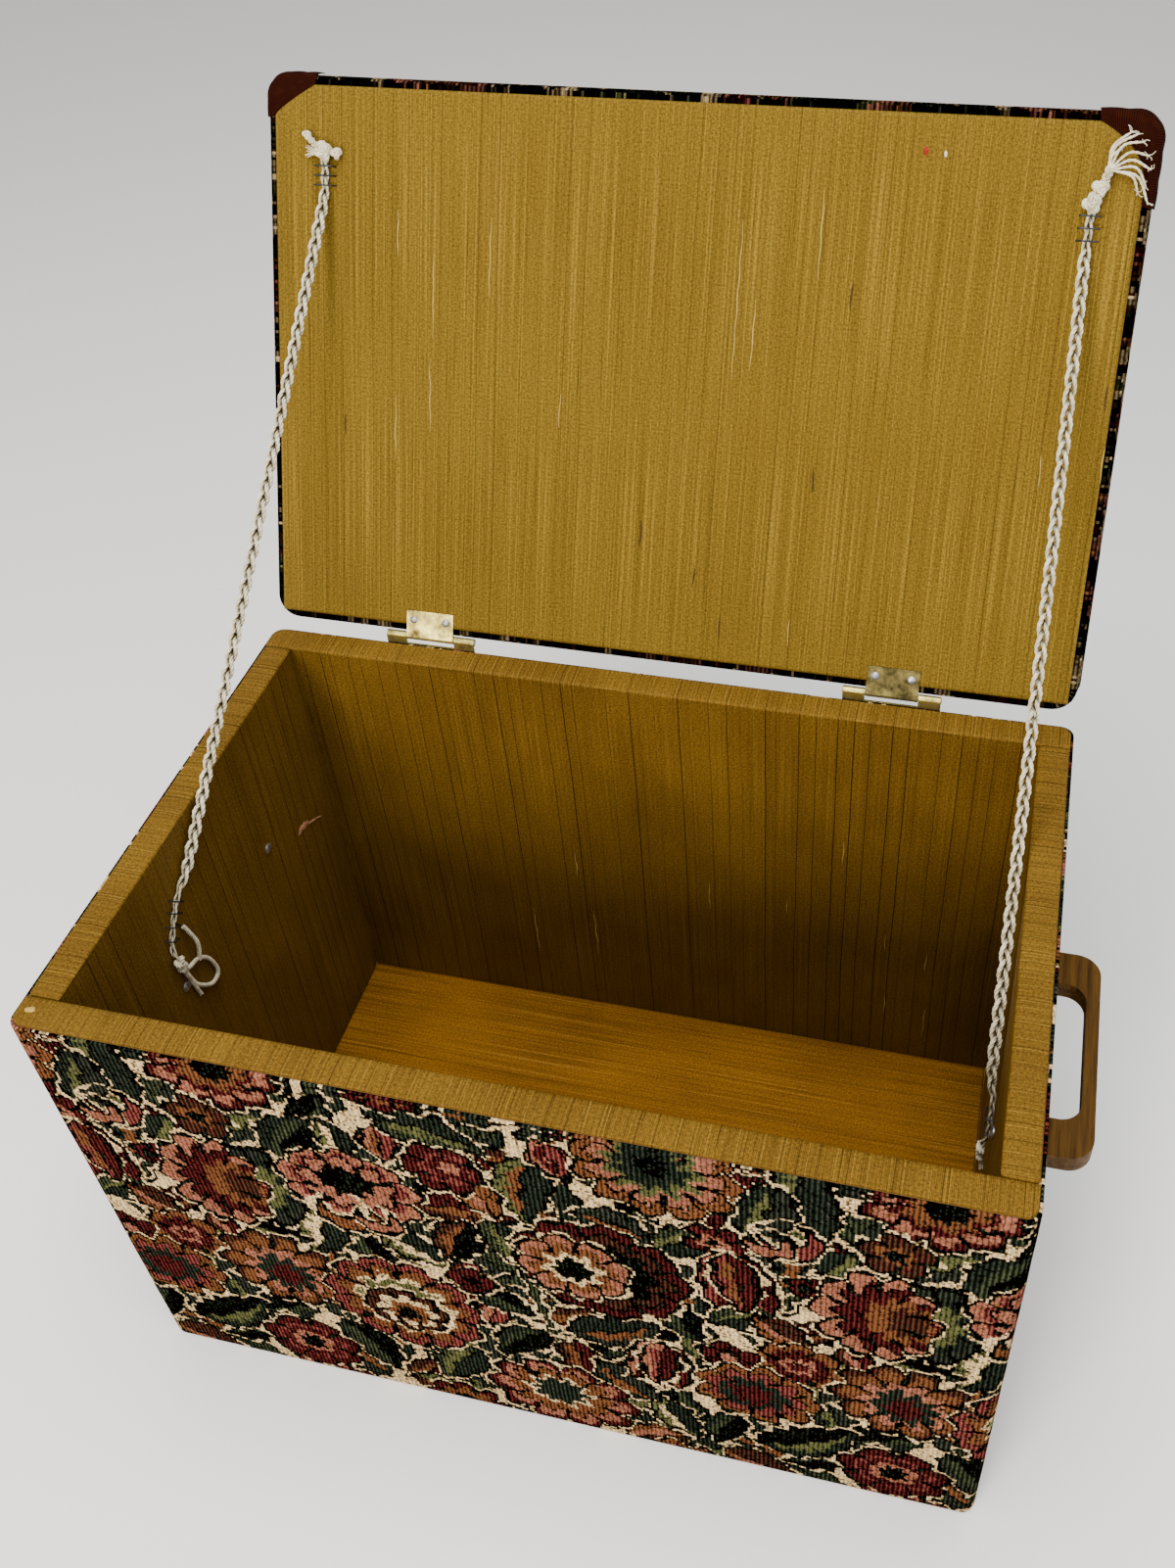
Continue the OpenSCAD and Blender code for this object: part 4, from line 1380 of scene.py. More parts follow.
@dataclass
class StayCord:
    """Plaited cotton cord that stops the lid: stapled to a side wall below and to the lid above.

    A plait of three strands runs along the route. At distance s a strand stands ASIDE sin(w) to
    the side and DEEP sin(2w) in depth, with w = 2 pi s / pitch plus a third of a turn for each
    strand; every strand is three twisted yarns. All of it narrows with the route's radius.

    wall, lid: rows of the route with its radius, in x, y, z on the wall and x, s, h on the lid.
    wall_staples: rows of y, z and the crown's angle. lid_staples: s of each.
    wall_knots: rows of x, y, z and radius. loops: loose ends beyond the last wall knot.
    """

    side: str
    plane: LidPlane
    finishes: Finishes
    wall: tuple[tuple[float, float, float, float], ...]
    lid: tuple[tuple[float, float, float, float], ...]
    wall_staples: tuple[tuple[float, float, float], ...]
    lid_staples: tuple[float, ...]
    wall_knots: tuple[tuple[float, float, float, float], ...]
    loops: tuple[tuple[tuple[float, float, float], ...], ...]
    full_radius: float = 3.75
    pitch: float = 31.5
    SAG, BOW = 2.4, 0.6
    # REACH is the plait's outside radius, which scales the painted shade between its yarns.
    ASIDE, DEEP, REACH = 2.3, 1.35, 3.3
    YARN_AWAY, YARN_RADIUS, YARN_PITCH = 0.7, 0.66, 9

    def route(self) -> Array:
        """Centre line with radius, wall end first.

        Returns:
            Rows of (x, y, z, radius) in millimetres.
        """
        lid = np.array(self.lid)
        high = np.hstack([self.plane.route(lid[:, :3]), lid[:, 3:]])
        low = np.array(self.wall)
        share = np.linspace(0, 1, 9)[1:-1, None]
        straight = low[-1] * (1 - share) + high[0] * share
        sag = 4 * share[:, 0] * (1 - share[:, 0])
        straight[:, 0] += np.sign(low[-1, 0]) * self.BOW * sag
        straight[:, 2] -= self.SAG * sag
        return resample(np.vstack([low, straight, high]), 0.8)

    def make(self) -> bpy.types.Object:
        """Returns:
            The plait's object.
        """
        line = self.route()
        path, scale = line[:, :3], line[:, 3:] / self.full_radius
        depth, back = square_to(path, (1, 0, 0))
        side, run = -back, walked(path)
        plait = Surface()
        for strand in range(3):
            w = 2 * math.pi * (run / self.pitch + strand / 3)[:, None]
            middle = path + scale * (self.ASIDE * np.sin(w) * side + self.DEEP * np.sin(2 * w) * depth)
            for yarn in range(3):
                turn = 2 * math.pi * (run / self.YARN_PITCH + yarn / 3)[:, None]
                centre = middle + self.YARN_AWAY * scale * (np.cos(turn) * side + np.sin(turn) * depth)
                # Painted shade in the hollows of the plait, by distance from its centre line.
                radius, reach = self.YARN_RADIUS * scale[:, 0], self.REACH * scale[:, 0]
                plait.tube(centre, radius, 6, (1, 0, 0), True, path, reach)
        obj = plait.make(f"{self.side}_cord_plait", self.finishes.cotton)
        start, end = np.array(self.wall[-1][:3]) * MM, self.plane.route([self.lid[0][:3]])[0] * MM
        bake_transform(obj)
        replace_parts(obj, f"{self.side}_stay_cord")
        knots = [self.wall_knot(), self.lid_knot()]
        return obj

    def wall_knot(self) -> bpy.types.Object:
        """Makes the knots and loops of the thin end on the side wall.

        Returns:
            The object of the knots.
        """
        knot = Surface()
        flat = np.array([[0, 1.0, 0], [0, 0, 1.0], [1.0, 0, 0]])
        for k, (x, y, z, radius) in enumerate(self.wall_knots):
            add_knot(knot, np.array([x, y, z]), flat, radius, radius * 0.36, 50 * k)
        for loop in self.loops:
            add_rope(knot, resample(np.array(loop), 0.8), (1, 0, 0), 0.75, 0.72, 6)
        return self.settle(knot, "wall", BOX)

    def lid_knot(self) -> bpy.types.Object:
        """Makes the knots of the lid end; each cord has its own."""
        raise NotImplementedError

    def settle(self, knot: Surface, end: str, body: str) -> bpy.types.Object:
        """Makes the knots of one end, which ride on a body in place of the CAD knot.

        Args:
            knot: surface that holds the knots.
            end: wall or lid.
            body: body that carries them.
        Returns:
            The object of the knots.
        """
        obj = knot.make(f"{self.side}_cord_{end}_tie", self.finishes.cotton)
        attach(obj, body)
        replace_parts(obj, f"{self.side}_{end}_knot")
        return obj

    def lid_axes(self) -> Array:
        """The lid's x, s and h directions as three rows."""
        return np.array([[1.0, 0, 0], self.plane.along, self.plane.out])

    def half_plait(self, surface: Surface, points: Sequence[Sequence[float]], size: float) -> None:
        """Adds a short flat plait on the lid through (x, s, h) points.

        Args:
            surface: surface to add to.
            points: rows of (x, s, h) along the plait.
            size: scale of the strands.
        """
        path = self.plane.route(resample(np.array(points, float), 0.7))
        side, _ = square_to(path, self.plane.out)
        run = np.arange(len(path)) * 0.7
        for strand in range(3):
            w = 2 * math.pi * (run / (14 * size) + strand / 3)[:, None]
            middle = path + size * (1.9 * np.sin(w) * side + 1.0 * np.sin(2 * w) * self.plane.out)
            add_rope(surface, middle, self.plane.out, 0.62 * size, 0.66 * size, 6)


@dataclass
class LeftCord(StayCord):
    """Left cord: two lumps side by side on the lid, a short braid end and a frayed bit."""

    def lid_knot(self) -> bpy.types.Object:
        """Makes the knots of the left lid end.

        Returns:
            The object of the knots.
        """
        knot, axes = Surface(), self.lid_axes()
        add_knot(knot, self.plane.at(-220, 293.6, 4.4), axes, 5.9, 1.75, 20)
        add_knot(knot, self.plane.at(-219.6, 295.4, 6.3), axes, 4.9, 1.6, 75)
        add_knot(knot, self.plane.at(-212.3, 293.5, 3.6), axes, 3.9, 1.35, 10)
        braid = ((-218, 291, 6), (-221.5, 295, 7.4), (-225.5, 298.6, 6.4), (-230, 302, 4.6))
        self.half_plait(knot, braid, 0.7)
        add_knot(knot, self.plane.at(-231, 303, 4.2), axes, 2.9, 1.05, 0)
        rng = np.random.default_rng(SEED + 4)
        for k in range(7):
            end = (-231 - 3 * rng.random(), 290.5 + 1.1 * k, 1.0 + rng.random())
            hair = np.array([(-224.5, 292.5 + 0.3 * k, 3.4), (-228, 291.8 + 0.7 * k, 3.0), end])
            knot.tube(self.plane.route(resample(hair, 0.9)), 0.34, 5, self.plane.out)
        return self.settle(knot, "lid", LID)


@dataclass
class RightCord(StayCord):
    """Right cord: two lumps in a row on the lid, a short braid and a frayed tassel.

    ENDS has the x and s of the tip of each yarn of the tassel.
    """

    ENDS = (
        (240, 319), (244, 327), (247.5, 326), (251, 322), (254, 315),
        (256, 308), (254.5, 300), (251, 295.5), (257, 290.5),
    )

    def lid_knot(self) -> bpy.types.Object:
        """Makes the knots and tassel of the right lid end.

        Returns:
            The object of the knots.
        """
        knot, axes = Surface(), self.lid_axes()
        add_knot(knot, self.plane.at(228, 289.2, 4.3), axes, 5.6, 1.7, 30)
        add_knot(knot, self.plane.at(228.4, 291, 6.2), axes, 4.6, 1.5, 80)
        add_knot(knot, self.plane.at(231.2, 297.2, 4.4), axes, 5.2, 1.6, 0)
        self.half_plait(knot, ((230.5, 295, 5.4), (233, 301, 5.0), (235, 308, 3.8)), 0.85)
        rng = np.random.default_rng(SEED + 5)
        for k, (x, s) in enumerate(self.ENDS):
            root = np.array([235 + 0.3 * (k - 4), 307.5 - 0.25 * abs(k - 4), 3.4])
            tip = np.array([x, s, 1.1 + rng.random() * 0.8])
            bow = rng.uniform(-1.4, 1.4, 3) * (1, 1, 0.3)
            reach = tip - root
            middle = root + 0.5 * reach + 0.24 * np.array([-reach[1], reach[0], 0]) + bow + (0, 0, 0.9)
            curve = resample(np.array([root, middle, tip]), 0.8)
            wide = np.interp(np.linspace(0, 1, len(curve)), [0, 0.4, 0.85, 1], [0.5, 0.7, 0.66, 0.3])
            wide = wide * (1 + 0.16 * np.sin(np.arange(len(curve)) * 1.7 + k))
            knot.tube(self.plane.route(curve), wide, 6, self.plane.out)
            for _ in range(4):
                end = tip + np.array([rng.uniform(-3, 3), rng.uniform(-3, 3), rng.uniform(-0.6, 1.2)])
                bent = (tip + end) / 2 + rng.uniform(-0.7, 0.7, 3)
                thread = resample(np.array([curve[-3], bent, end]), 1.0)
                knot.tube(self.plane.route(thread), 0.17, 4, self.plane.out)
        return self.settle(knot, "lid", LID)


@dataclass
class Staples:
    """Wire staples over the cords: a crown with rounded corners and two legs in the wood.

    ON_WALL and ON_LID are the width of the crown and its height over the cloth, LEG the length of
    a leg below the cloth and WIRE the radius of the wire.
    """

    plane: LidPlane
    plan: Plan
    finishes: Finishes
    cords: tuple[StayCord, ...]
    ON_WALL, ON_LID = (9.4, 4.7), (11.4, 6.3)
    LEG, WIRE = 7, 0.48

    @classmethod
    def bend(
        cls, surface: Surface, foot: Array, across: Array, out: Array, width: float, rise: float
    ) -> None:
        """Adds one staple whose crown lies across, at the rise out of the foot point.

        Args:
            surface: surface to add to.
            foot: point on the wood under the crown's middle.
            across: direction along the crown.
            out: direction out of the wood.
            width: distance between the legs.
            rise: height of the crown.
        """
        half = width / 2
        flat = [(-half, -cls.LEG), (-half, rise - 1.6), (-half + 0.35, rise - 0.5), (-half + 1.4, rise)]
        flat += [(0, rise + 0.15)] + [(-a, b) for a, b in reversed(flat)]
        path = resample(np.array([foot + a * across + b * out for a, b in flat]), 0.6)
        surface.tube(path, cls.WIRE, 8, np.cross(across, out))

    def make(self) -> None:
        """Makes the wall staples and the lid staples as two pieces."""
        on_wall, on_lid = Surface(), Surface()
        for cord in self.cords:
            side = np.sign(cord.wall[0][0])
            for y, z, angle in cord.wall_staples:
                a = math.radians(angle)
                across = np.array([0, math.cos(a), -math.sin(a)])
                foot = np.array([side * self.plan.face_x, y, z])
                self.bend(on_wall, foot, across, np.array([-side, 0.0, 0]), *self.ON_WALL)
            for s in cord.lid_staples:
                foot = self.plane.at(cord.lid[-1][0], s, 0)
                self.bend(on_lid, foot, np.array([1.0, 0, 0]), self.plane.out, *self.ON_LID)
        for surface, node, body in ((on_wall, "wall_staples", BOX), (on_lid, "lid_staples", LID)):
            obj = surface.make(f"bent_{node}", self.finishes.wire)
            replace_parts(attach(obj, body), node)


def tapered(count: int) -> Array:
    """Thickness along a thread that swells out and back, 0 to 1."""
    return np.sin(math.pi * np.clip(np.linspace(0, 1, count), 0.03, 0.97)) ** 0.5


class Outline:
    """The box's outside line in plan, walked by the distance u along the cloth.

    u is 0 at the sharp front left corner and grows to the right along the front. The four corners
    are quarter circles of ARC points each: front left, front right, back right, back left.
    """

    ARC = 33

    def __init__(self, plan: Plan) -> None:
        """Works out points, inward directions and the distance walked.

        A corner's points are its centre plus r times (cos, sin) of a turn through a quarter circle.

        Args:
            plan: sizes of the box.
        """
        r, w, d = plan.corner_r, plan.half_w - plan.corner_r, plan.half_d - plan.corner_r
        quarter = np.linspace(0, math.pi / 2, self.ARC)
        xy, normal = [], []
        for cx, cy, start in ((-w, -d, 1), (w, -d, 1.5), (w, d, 0), (-w, d, 0.5)):
            turn = start * math.pi + quarter
            way = np.stack([np.cos(turn), np.sin(turn)], -1)
            xy.append(np.array([cx, cy]) + r * way)
            normal.append(-way)
        self.xy, self.normal = np.vstack([*xy, xy[0]]), np.vstack([*normal, normal[0]])
        run = walked(self.xy)
        self.u = run - run[self.ARC - 1] + r
        self.around = run[4 * self.ARC] - run[0]

    def corner(self, number: int) -> tuple[float, float]:
        """Where a corner's quarter circle starts and ends; 4 is the first corner met again."""
        return self.u[self.ARC * number], self.u[self.ARC * (number + 1) - 1]

    def at(self, u: Array) -> tuple[Array, Array]:
        """Points and inward directions at distances u, which wrap round the box.

        Args:
            u: distances along the cloth.
        Returns:
            Points (x, y) and unit directions.
        """
        u = (u - self.u[0]) % self.around + self.u[0]
        point = np.stack([np.interp(u, self.u, self.xy[:, k]) for k in (0, 1)], -1)
        inward = unit(np.stack([np.interp(u, self.u, self.normal[:, k]) for k in (0, 1)], -1))
        return point, inward


@dataclass
class WallCovers:
    """Tapestry over the four walls: front and back turn the corners, the sides butt against them.

    One stitch of the cloth is one face, so every rib keeps its own colour. The section runs down
    the outside, under the bottom as a hem and up between cloth and board, which gives the cloth
    its thickness.
    """

    plan: Plan
    loom: Loom
    finishes: Finishes
    outline: Outline

    def section(self) -> Array:
        """Rows of (distance inward, z) round the cloth, outer top first.

        Returns:
            The rows as an array.
        """
        top, low, thick, stitch = self.plan.cover_top, self.plan.cover_low, 1.95, Loom.PITCH[1]
        rim = self.plan.rim_z
        face = [(0.0, rim - stitch * k) for k in range(2, int((rim - low - 1.4) / stitch))]
        roll = ((0.3, 0.6), (0.9, 0.1), (2, 0), (8, 0), (16, 0), (16.3, 0.4), (16, 1.1), (8, 1.15))
        hem = [(depth, low + rise) for depth, rise in (*roll, (thick, 1.15))]
        inner = [(thick, z) for z in spaced(30, top - 1.2, 60)]
        fold = ((thick - 0.3, top - 0.3), (1.2, top), (0.7, top), (0.15, top - 0.4))
        return np.array([*face, *hem, *inner, *fold])

    def make_one(self, side: str, start: float, end: float) -> None:
        """Makes the cloth of one side from u = start to u = end.

        Args:
            side: front, right, back or left.
            start: u where the cloth starts.
            end: u where it ends.
        """
        pitch = Loom.PITCH[0]
        inside = np.arange(math.ceil(start / pitch + 0.1), math.floor(end / pitch - 0.1) + 1) * pitch
        u = np.concatenate([[start], inside, [end]])
        xy, inward = self.outline.at(u)
        rows = self.section()
        depth = np.minimum(rows[:, :1], self.mitre(u)[None])
        v = walked(rows) + self.plan.rim_z - rows[0, 1]
        a, b = np.meshgrid(u, v)
        slack = 0.22 * value_noise(a, b, 70, 5) + 0.1 * value_noise(a, b, 23, 6)
        slack = slack * (rows[:, :1] == 0) * np.clip(v[:, None] / 20, 0, 1)
        flat = xy[None] + inward[None] * (depth - np.abs(slack))[..., None]
        z = np.broadcast_to(rows[:, 1:], flat.shape[:2])
        v = np.append(v, v[-1] + 1)
        dye = self.loom.at(*np.meshgrid((u[1:] + u[:-1]) / 2, (v[1:] + v[:-1]) / 2))
        cloth = Surface()
        cloth.band(np.dstack([flat, z]), u, v, dye)
        obj = cloth.make(f"{side}_tapestry", self.finishes.tapestry)
        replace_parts(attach(obj, BOX), f"{side}_cover")

    def mitre(self, u: Array) -> Array:
        """How far inward the hem may reach at u: little at a corner, growing away from it.

        Args:
            u: distances along the cloth.
        Returns:
            Largest distance inward at each u.
        """
        a = (u - self.outline.u[0]) % self.outline.around + self.outline.u[0]
        near = np.full(u.shape, np.inf)
        for number in range(4):
            start, end = self.outline.corner(number)
            away = np.maximum(np.maximum(start - a, a - end), 0)
            near = np.minimum(near, np.minimum(away, self.outline.around - away))
        return np.maximum(self.plan.corner_r - 0.4 + near, 0)

    def make(self) -> None:
        """Makes all four."""
        around = self.outline.around
        starts, ends = zip(*(self.outline.corner(number) for number in range(4)))
        self.make_one("front", starts[0], ends[1])
        self.make_one("right", ends[1], starts[2])
        self.make_one("back", starts[2], ends[3])
        self.make_one("left", ends[3] - around, self.outline.corner(4)[0] - around)


@dataclass
class BoxLining:
    """Gold cloth over the four inside faces and the rim.

    The section starts at the outer edge of the rim, crosses it, runs down the inside face and
    comes back against the board. Front and back strips cover the corners of the rim; the side
    strips butt against them with folded, rounded ends. SLUBS has the x and the lowest and highest
    z of each thick thread on the back wall, SCREWS the x of the hinge screws, which stand
    SCREW_IN from the edge of the rim. ROUND is the radius of the rim's corners in plan.
    """

    plan: Plan
    finishes: Finishes
    DEPTH, ROUND, SCREW_IN = 18, 6, 7.4
    SIDES = ("front", "back", "left", "right")
    SCREWS = (-161, -139, 139, 161)
    SLUBS = (
        (-98, 58, 108), (-51, 66, 116), (-60, 150, 176), (36, 138, 167), (91, 147, 161),
        (160, 122, 140), (163, 52, 73), (189, 106, 127), (192, 32, 64), (128, 205, 226),
    )

    def section(self) -> Array:
        """Rows of (distance in from the outer board face, z).

        Returns:
            The rows as an array.
        """
        z = self.plan.rim_z
        cap = (
            (0.1, -1.9), (0.12, -0.9), (0.7, -0.15), (2.2, 0.12), (4.5, 0.28), (7, 0.36), (9, 0.38),
            (11, 0.36), (13.5, 0.28), (15.6, 0.1), (17.2, -0.35), (17.9, -1.1), (self.DEPTH, -2.2),
        )
        face = [(self.DEPTH, h) for h in spaced(z - 4, self.plan.wall_z + 0.3, 6)]
        rear = [(16.1, h) for h in (self.plan.wall_z + 0.2, 120, 240, z - 1.95)]
        under = [(depth, z - 1.92) for depth in (12, 6, 1)]
        return np.array([*[(depth, z + rise) for depth, rise in cap], *face, *rear, *under])

    def strip(
        self, side: str, along: Array, inner: float, place: Callable[[Array, Array], Array]
    ) -> None:
        """Makes one strip.

        Args:
            side: front, back, left or right.
            along: column positions along the wall.
            inner: the face below the rim is kept within this distance of the middle.
            place: turns (along, depth) into x and y.
        """
        rows = self.section()
        reach = np.abs(along).max()
        left = reach - np.abs(along)
        long = side in ("front", "back")
        depth = np.broadcast_to(rows[:, :1], (len(rows), len(along))).copy()
        z = np.broadcast_to(rows[:, 1:], depth.shape).copy()
        if long:
            r = self.ROUND
            bite = r - np.sqrt(np.maximum(r * r - np.clip(r - left, 0, r) ** 2, 0))
            depth = bite + depth * (self.DEPTH - bite) / self.DEPTH
        else:
            fold = 1 - np.sqrt(1 - (1 - np.clip(left / 3, 0, 1)) ** 2)
            z -= np.where(z > self.plan.rim_z - 2, 1.5 * fold, 0)
            depth += np.where(depth < 9, 1, -1) * 1.4 * fold * (z > self.plan.rim_z - 3)
        out = np.abs(along) > inner
        floor = self.plan.rim_z - 1.95
        z = np.where(out[None] & (z < floor), floor - 0.05 + (z - 6) * 0.0001, z)
        v = walked(rows)
        a, b = np.meshgrid(along + 300, v)
        soft = 0.28 * value_noise(a, b, 34, 11) + 0.12 * value_noise(a, b, 9, 12)
        on_face = (rows[:, :1] == self.DEPTH) & ~out[None]
        depth = depth + np.where(on_face, soft - 0.2, 0)
        z = z + np.where((rows[:, 1:] > self.plan.rim_z) & (left[None] > 4), soft * 0.4 - 0.3, 0)
        if side == "back":
            for x in self.SCREWS:
                far = np.hypot(along[None] - x, rows[:, :1] - self.SCREW_IN)
                z = z - np.where(rows[:, 1:] > self.plan.rim_z - 1, 0.9 * np.exp(-((far / 2.6) ** 2)), 0)
        xy = place(np.broadcast_to(along[None], depth.shape), depth)
        cloth = Surface()
        cloth.band(np.dstack([xy, z]), along + 700 * self.SIDES.index(side), np.append(v, v[-1] + 2))
        obj = cloth.make(f"{side}_slub_cloth", self.finishes.wall)
        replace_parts(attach(obj, BOX), f"{side}_lining")

    def make(self) -> None:
        """Makes the four strips."""
        p = self.plan
        ends = [0.3, 0.8, 1.5, 2.4, 3.6, 5, 6, 8]
        for side, sign in (("front", -1), ("back", 1)):
            tail = np.array([0, *ends, p.board_x - p.face_x - 1.9])
            middle = spaced(-p.face_x + 0.2, p.face_x - 0.2, 2.5)
            x = np.unique(np.concatenate([-p.board_x + tail, middle, p.board_x - tail]))
            self.strip(side, x, p.face_x + 0.3, lambda a, d, k=sign: np.dstack([a, k * (p.board_y - d)]))
        reach = p.face_y - 0.3
        tail = np.array([0, 0.2, 0.5, 0.9, 1.4, 2, 2.6])
        y = np.unique(np.concatenate([-reach + tail, spaced(-reach + 3, reach - 3, 2.5), reach - tail]))
        for side, sign in (("left", -1), ("right", 1)):
            self.strip(side, y, math.inf, lambda a, d, k=sign: np.dstack([k * (p.board_x - d), a]))
        self.slubs()

    def slubs(self) -> None:
        """Makes the pale thick places of single threads that catch the light on the back wall."""
        rng = np.random.default_rng(SEED + 9)
        piece = Surface()
        for x, low, high in self.SLUBS:
            z = spaced(low, high, 2.0)
            line = np.stack([x + 0.3 * np.sin(z / 3.1), np.full_like(z, self.plan.face_y - 0.05), z], -1)
            piece.tube(line, 0.5 * tapered(len(z)) * (0.5 + 0.6 * rng.random(len(z))), 6, (0, 1, 0))
        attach(piece.make("back_wall_slubs", self.finishes.slub_pale), BOX)


@dataclass
class FloorPanel:
    """Card covered with gold cloth on the bottom board; its threads run from side to side."""

    plan: Plan
    finishes: Finishes
    ROLL = 1.6

    def make(self) -> None:
        """Makes the panel: a top that rolls down at its edges, closed below."""
        p = self.plan
        edge = np.array([0, 0.15, 0.5, 1.0, self.ROLL])
        sides = (
            np.concatenate([-face + edge, spaced(-face + 5, face - 5, 5), face - edge[::-1]])
            for face in (p.face_x, p.face_y)
        )
        gx, gy = np.meshgrid(*sides)
        near = np.minimum(p.face_x - np.abs(gx), p.face_y - np.abs(gy))
        roll = np.sqrt(1 - (1 - np.clip(near / self.ROLL, 0, 1)) ** 2)
        z = p.wall_z + 0.6 + (p.floor_z - p.wall_z - 0.8) * roll
        z += np.where(near > 3, 0.25 * value_noise(gx + 300, gy + 300, 45, 21), 0)
        panel = Surface()
        ids = panel.grid(np.dstack([gx, gy, z]), uv=np.dstack([gy + 1500, gx]))
        ring = panel.border(ids)
        rim = np.stack([gx, gy, np.full_like(gx, p.wall_z + 0.05)], -1).reshape(-1, 3)[ring - ids[0, 0]]
        panel.cap(panel.skirt(ring, rim)[::-1])
        obj = panel.make("floor_slub_panel", self.finishes.floor)
        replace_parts(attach(obj, BOX), "floor_panel")


@dataclass
class LidLining:
    """Gold cloth panel on the inside of the lid, its two free corners cut away in a curve.

    Each row across the lid runs between a left and a right end. The top rolls down over its last
    two millimetres; distance from the nearest edge sets the height by a quarter circle. A cut is
    its width, its length and the power of its bow. PALE and DARK place the thick threads: column,
    first and last row on a grid of three units for each millimetre. From s = FRONT_RIM on the
    cloth is level, because it lies on the rim of the box there when the lid is shut.
    """

    plane: LidPlane
    finishes: Finishes
    half: float = 254.0
    near: float = 7.4
    far: float = 331.5
    left_cut: tuple[float, float, float] = (26, 18, 1.25)
    right_cut: tuple[float, float, float] = (27, 42, 3.2)
    PALE = (
        (1028, 150, 300), (890, 210, 480), (922, 340, 460), (435, 230, 370), (328, 300, 450),
        (258, 230, 310), (255, 560, 680), (325, 490, 620), (575, 530, 590), (1030, 900, 950),
        (1440, 560, 620), (1540, 540, 600),
    )
    DARK = (
        (155, 600, 640), (1050, 620, 665), (900, 910, 950), (740, 745, 795), (845, 820, 860),
        (1088, 300, 345), (1530, 440, 480),
    )
    FRONT_RIM, ROLL = 308, 2

    def ends(self, s: Array) -> tuple[Array, Array]:
        """Left and right end of the cloth at each s.

        Args:
            s: distances from the hinge axis.
        Returns:
            x of the two ends at each s.
        """
        reach = []
        for wide, long, bow in (self.left_cut, self.right_cut):
            share = np.clip((s - (self.far - long)) / long, 0, 1)
            reach.append(self.half - wide * share**bow)
        return -reach[0], reach[1]

    def make(self) -> None:
        """Makes the cloth and its thick threads."""
        roll = np.array([0, 0.12, 0.4, 0.8, 1.3, self.ROLL])
        level, bend = spaced(self.near + 4, self.far - 46, 4), spaced(self.far - 44, self.far - 3, 2.2)
        s = np.concatenate([self.near + roll, level, bend, self.far - roll[::-1]])
        left, right = self.ends(s)
        inner = np.linspace(0, 1, 150)[None]
        lo, hi = left[:, None] + 4, right[:, None] - 4
        x = np.hstack([left[:, None] + roll, lo + (hi - lo) * inner, right[:, None] - roll[::-1]])
        lean = [np.cos(np.arctan(np.abs(np.gradient(end, s))))[:, None] for end in (left, right)]
        aside = np.minimum((x - left[:, None]) * lean[0], (right[:, None] - x) * lean[1])
        along = np.minimum(s - self.near, self.far - s)[:, None]
        edge = np.minimum(aside, along)
        h = self.ROLL * (np.sqrt(1 - (1 - np.clip(edge / self.ROLL, 0, 1)) ** 2) - 1)
        s_grid = np.broadcast_to(s[:, None], x.shape)
        slack = 0.22 * value_noise(x + 500, s_grid, 48, 31) + 0.1 * value_noise(x + 500, s_grid, 15, 32)
        flat = np.clip((self.FRONT_RIM - s_grid) / 16, 0, 1)
        h = h + np.where(edge > 3, slack * flat, 0)
        h = np.where(s_grid < 30, np.minimum(h, 0), h)
        cloth = Surface()
        ids = cloth.grid(self.plane.at(x, s_grid, h), uv=np.dstack([x + 4000, s_grid]))
        cloth.cap(cloth.border(ids)[::-1])
        obj = cloth.make("lid_slub_cloth", self.finishes.lining)
        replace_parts(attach(obj, LID), "lid_lining")
        self.threads("lid_pale_slubs", self.PALE, self.finishes.slub_pale, 0.42)
        self.threads("lid_dark_slubs", self.DARK, self.finishes.slub_dark, 0.62)

    def threads(self, name: str, places: Iterable[Sequence[float]], material: Any, radius: float) -> None:
        """Makes one piece of thick threads, each a tapered tube on the cloth, radius at its middle.

        Args:
            name: object name.
            places: rows of (column, top, low), in thirds of a millimetre from the far left corner.
            material: finish of the threads.
            radius: radius at a thread's middle.
        """
        rng = np.random.default_rng(SEED + 7)
        piece = Surface()
        for column, top, low in places:
            x = column / 3 - 260
            s = spaced(340 - low / 3, 340 - top / 3, 2.0)
            share = np.linspace(0, 1, len(s))
            lean = rng.uniform(-0.8, 0.8)
            line = self.plane.at(x + lean * share + 0.25 * np.sin(s / 3.1), s, 0.12)
            piece.tube(line, radius * tapered(len(s)) * (0.8 + 0.3 * rng.random(len(s))), 6, self.plane.out)
        obj = piece.make(name, material)
        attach(obj, LID)


